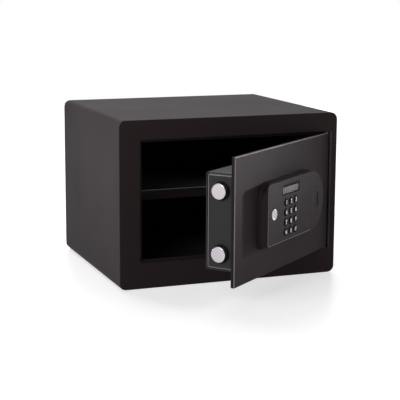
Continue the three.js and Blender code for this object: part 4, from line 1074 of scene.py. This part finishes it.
def reader():
    """Finger reader: a slightly hollowed dark glass on its flange."""
    low, high = extents("fingerprint_sensor")
    lip = READER_LIP
    flange = 2.4
    top_x0, top_x1 = low.x + lip, high.x - lip
    top_z0, top_z1 = low.z + lip, high.z - lip
    bm = bmesh.new()
    rings = []
    for inset, y in fillet(0.5, 4):
        rings.append(ring(bm, rounded(top_x0 + inset, top_x1 - inset, top_z0 + inset, top_z1 - inset,
                                      [1.7 - inset] * 4, 5), low.y + y))
    hollow = []
    for share in (0.3, 0.6, 0.85):
        half_x = (top_x1 - top_x0) / 2 - 0.5
        half_z = (top_z1 - top_z0) / 2 - 0.5
        shift_x = half_x * share
        shift_z = half_z * share
        corner = max(1.2 * (1 - share), 0.2)
        hollow.append(ring(
            bm,
            rounded(top_x0 + 0.5 + shift_x, top_x1 - 0.5 - shift_x, top_z0 + 0.5 + shift_z,
                    top_z1 - 0.5 - shift_z, [corner] * 4, 5),
            low.y + 0.35 * math.sin(share * math.pi / 2)))
    skin(bm, hollow[::-1] + rings)
    cap(bm, hollow[-1])
    shoulder = ring(bm, rounded(top_x0, top_x1, top_z0, top_z1, [1.7] * 4, 5), high.y - flange)
    foot = [ring(bm, rounded(low.x, high.x, low.z, high.z, [2] * 4, 5), y) for y in (high.y - flange, high.y)]
    skin(bm, [rings[-1], shoulder, *foot])
    cap(bm, foot[-1])
    piece("reader_glass", bm, [READER], "fingerprint_sensor")


def kept_nodes():
    """Inner pieces keep their own solids and take their finish."""
    for node, item in frame["nodes"].items():
        if item.hide_render:
            continue
        item.data.materials.clear()
        item.data.materials.append(FINISH_OF_SLOT[SLOT_OF[node]])


# Studio
def aimed(name, light, place, target):
    """Lamp that lights the safe but stays out of the picture."""
    item = bpy.data.objects.new(name, light)
    item.location = place
    item.rotation_mode = "QUATERNION"
    item.rotation_quaternion = (Vector(target) - Vector(place)).to_track_quat("-Z", "Y")
    item.visible_camera = False
    bpy.context.scene.collection.objects.link(item)


def softbox(name, place, target, size, power):
    """Broad soft lamp."""
    light = bpy.data.lights.new(name, "AREA")
    light.shape = "RECTANGLE"
    light.size, light.size_y = size
    light.energy = power
    aimed(name, light, place, target)


def snooted_lamp(name, place, target, cone, power):
    """Narrow soft beam that grazes one face of the safe and misses the others."""
    light = bpy.data.lights.new(name, "SPOT")
    light.shadow_soft_size = SNOOT_RADIUS
    light.spot_size = math.radians(cone)
    light.spot_blend = 1
    light.energy = power
    aimed(name, light, place, target)


def showing(tree):
    """Full for rays that show the surroundings: straight to the camera, in a reflection or through glass."""
    path = add(tree, "ShaderNodeLightPath")
    seen = add(tree, "ShaderNodeMath", {"operation": "ADD"},
               {0: path.outputs["Is Camera Ray"], 1: path.outputs["Is Glossy Ray"]})
    shown = add(tree, "ShaderNodeMath", {"operation": "ADD", "use_clamp": True},
                {0: seen.outputs[0], 1: path.outputs["Is Transmission Ray"]})
    return shown.outputs[0]


def studio_floor():
    """Pale floor that keeps the safe's soft shadow and runs into the white background."""
    bpy.ops.mesh.primitive_circle_add(
        vertices=96, radius=FLOOR_RADIUS, fill_type="NGON", location=(0, 0.2, -0.0004))
    floor = bpy.context.object
    floor.name = "floor"
    material = bpy.data.materials.new("white_floor")
    material.use_nodes = True
    tree = material.node_tree
    tree.nodes.clear()
    paint = add(tree, "ShaderNodeBsdfPrincipled", {"Base Color": (0.8, 0.8, 0.8, 1), "Roughness": 0.35})
    where = add(tree, "ShaderNodeTexCoord").outputs["Object"]
    reach = add(tree, "ShaderNodeVectorMath", {"operation": "LENGTH"}, {0: where})
    rise = {"interpolation_type": "SMOOTHSTEP", "From Min": GLOW_RISES, "From Max": GLOW_FULL,
            "To Min": FLOOR_GLOW, "To Max": 1}
    glowing = add(tree, "ShaderNodeMapRange", rise, {"Value": reach.outputs["Value"]})
    share = add(tree, "ShaderNodeMath", {"operation": "MULTIPLY"}, {0: showing(tree), 1: glowing.outputs[0]})
    glow = add(tree, "ShaderNodeEmission", {"Color": (1, 1, 1, 1)}, {"Strength": share.outputs[0]})
    both = add(tree, "ShaderNodeAddShader", links={0: paint.outputs[0], 1: glow.outputs[0]})
    add(tree, "ShaderNodeOutputMaterial", links={"Surface": both.outputs[0]})
    floor.data.materials.append(material)


def studio_world():
    """White wherever it is seen or mirrored; the lamps alone light the safe."""
    world = bpy.data.worlds.new("studio")
    bpy.context.scene.world = world
    world.use_nodes = True
    tree = world.node_tree
    tree.nodes.clear()
    shell = add(tree, "ShaderNodeBackground", {"Color": (1, 1, 1, 1)}, {"Strength": showing(tree)})
    add(tree, "ShaderNodeOutputWorld", links={"Surface": shell.outputs[0]})


def photo_camera():
    """Camera turned by yaw, pitch and roll, in that order."""
    camera = bpy.data.cameras.new("camera")
    camera.sensor_width = SENSOR_WIDTH
    camera.lens = SENSOR_WIDTH * FOCAL_PIXELS / FRAME_PIXELS
    camera.clip_end = 50
    item = bpy.data.objects.new("camera", camera)
    forward = Vector((
        math.sin(CAMERA_YAW) * math.cos(CAMERA_PITCH),
        math.cos(CAMERA_YAW) * math.cos(CAMERA_PITCH),
        math.sin(CAMERA_PITCH),
    ))
    level = Vector((math.cos(CAMERA_YAW), -math.sin(CAMERA_YAW), 0))
    upright = level.cross(forward)
    right = math.cos(CAMERA_ROLL) * level + math.sin(CAMERA_ROLL) * upright
    up = math.cos(CAMERA_ROLL) * upright - math.sin(CAMERA_ROLL) * level
    turn = Matrix((right, up, -forward)).transposed().to_4x4()
    item.matrix_world = Matrix.Translation(Vector(CAMERA_PLACE) * MM) @ turn
    bpy.context.scene.collection.objects.link(item)
    bpy.context.scene.camera = item


photo_camera()
studio_world()
studio_floor()
softbox("backdrop_light", (-0.2, 2.6, 0.9), (-0.2, 0, 0.5), (4, 1.8), 4)
softbox("left_softbox", (-1.5, -1.1, 0.9), (-0.12, -0.35, 0.12), (0.8, 0.5), 12)
softbox("top_softbox", (-0.1, 1.2, 1.9), (0, 0, 0.1), (1.6, 1.2), 22)
softbox("front_left_softbox", (-1.5, -2, 1.5), (0, 0, 0.12), (0.9, 0.9), 17)
softbox("front_right_softbox", (1.2, -1.9, 1.2), (0, 0, 0.12), (0.9, 0.9), 11)
snooted_lamp("door_snoot", (1.5, 0.25, 0.32), (-0.05, -0.55, 0.2), 17, 290)
snooted_lamp("side_snoot", (-1, 1.3, 0.35), (-0.175, -0.145, 0.155), 11, 26)

cabinet_wrap()
front_surround()
rear_panel()
hole_y = extents("front_frame")[0].y + BASE_HOLE_SETBACK
felt("floor_felt", "floor_mat", [(-FIXING_SPACING / 2, hole_y), (FIXING_SPACING / 2, hole_y)])
felt("shelf_felt", "shelf_mat")
shelf_edge_light_and_shade()
door_leaf()
lock_box()
chromed_bolts()
cover_screws()
battery_lid()
reset_cap()
panel_moulding()
key_caps()
key_cover_disc()
display()
reader()
kept_nodes()

bpy.context.scene.view_settings.view_transform = "Standard"
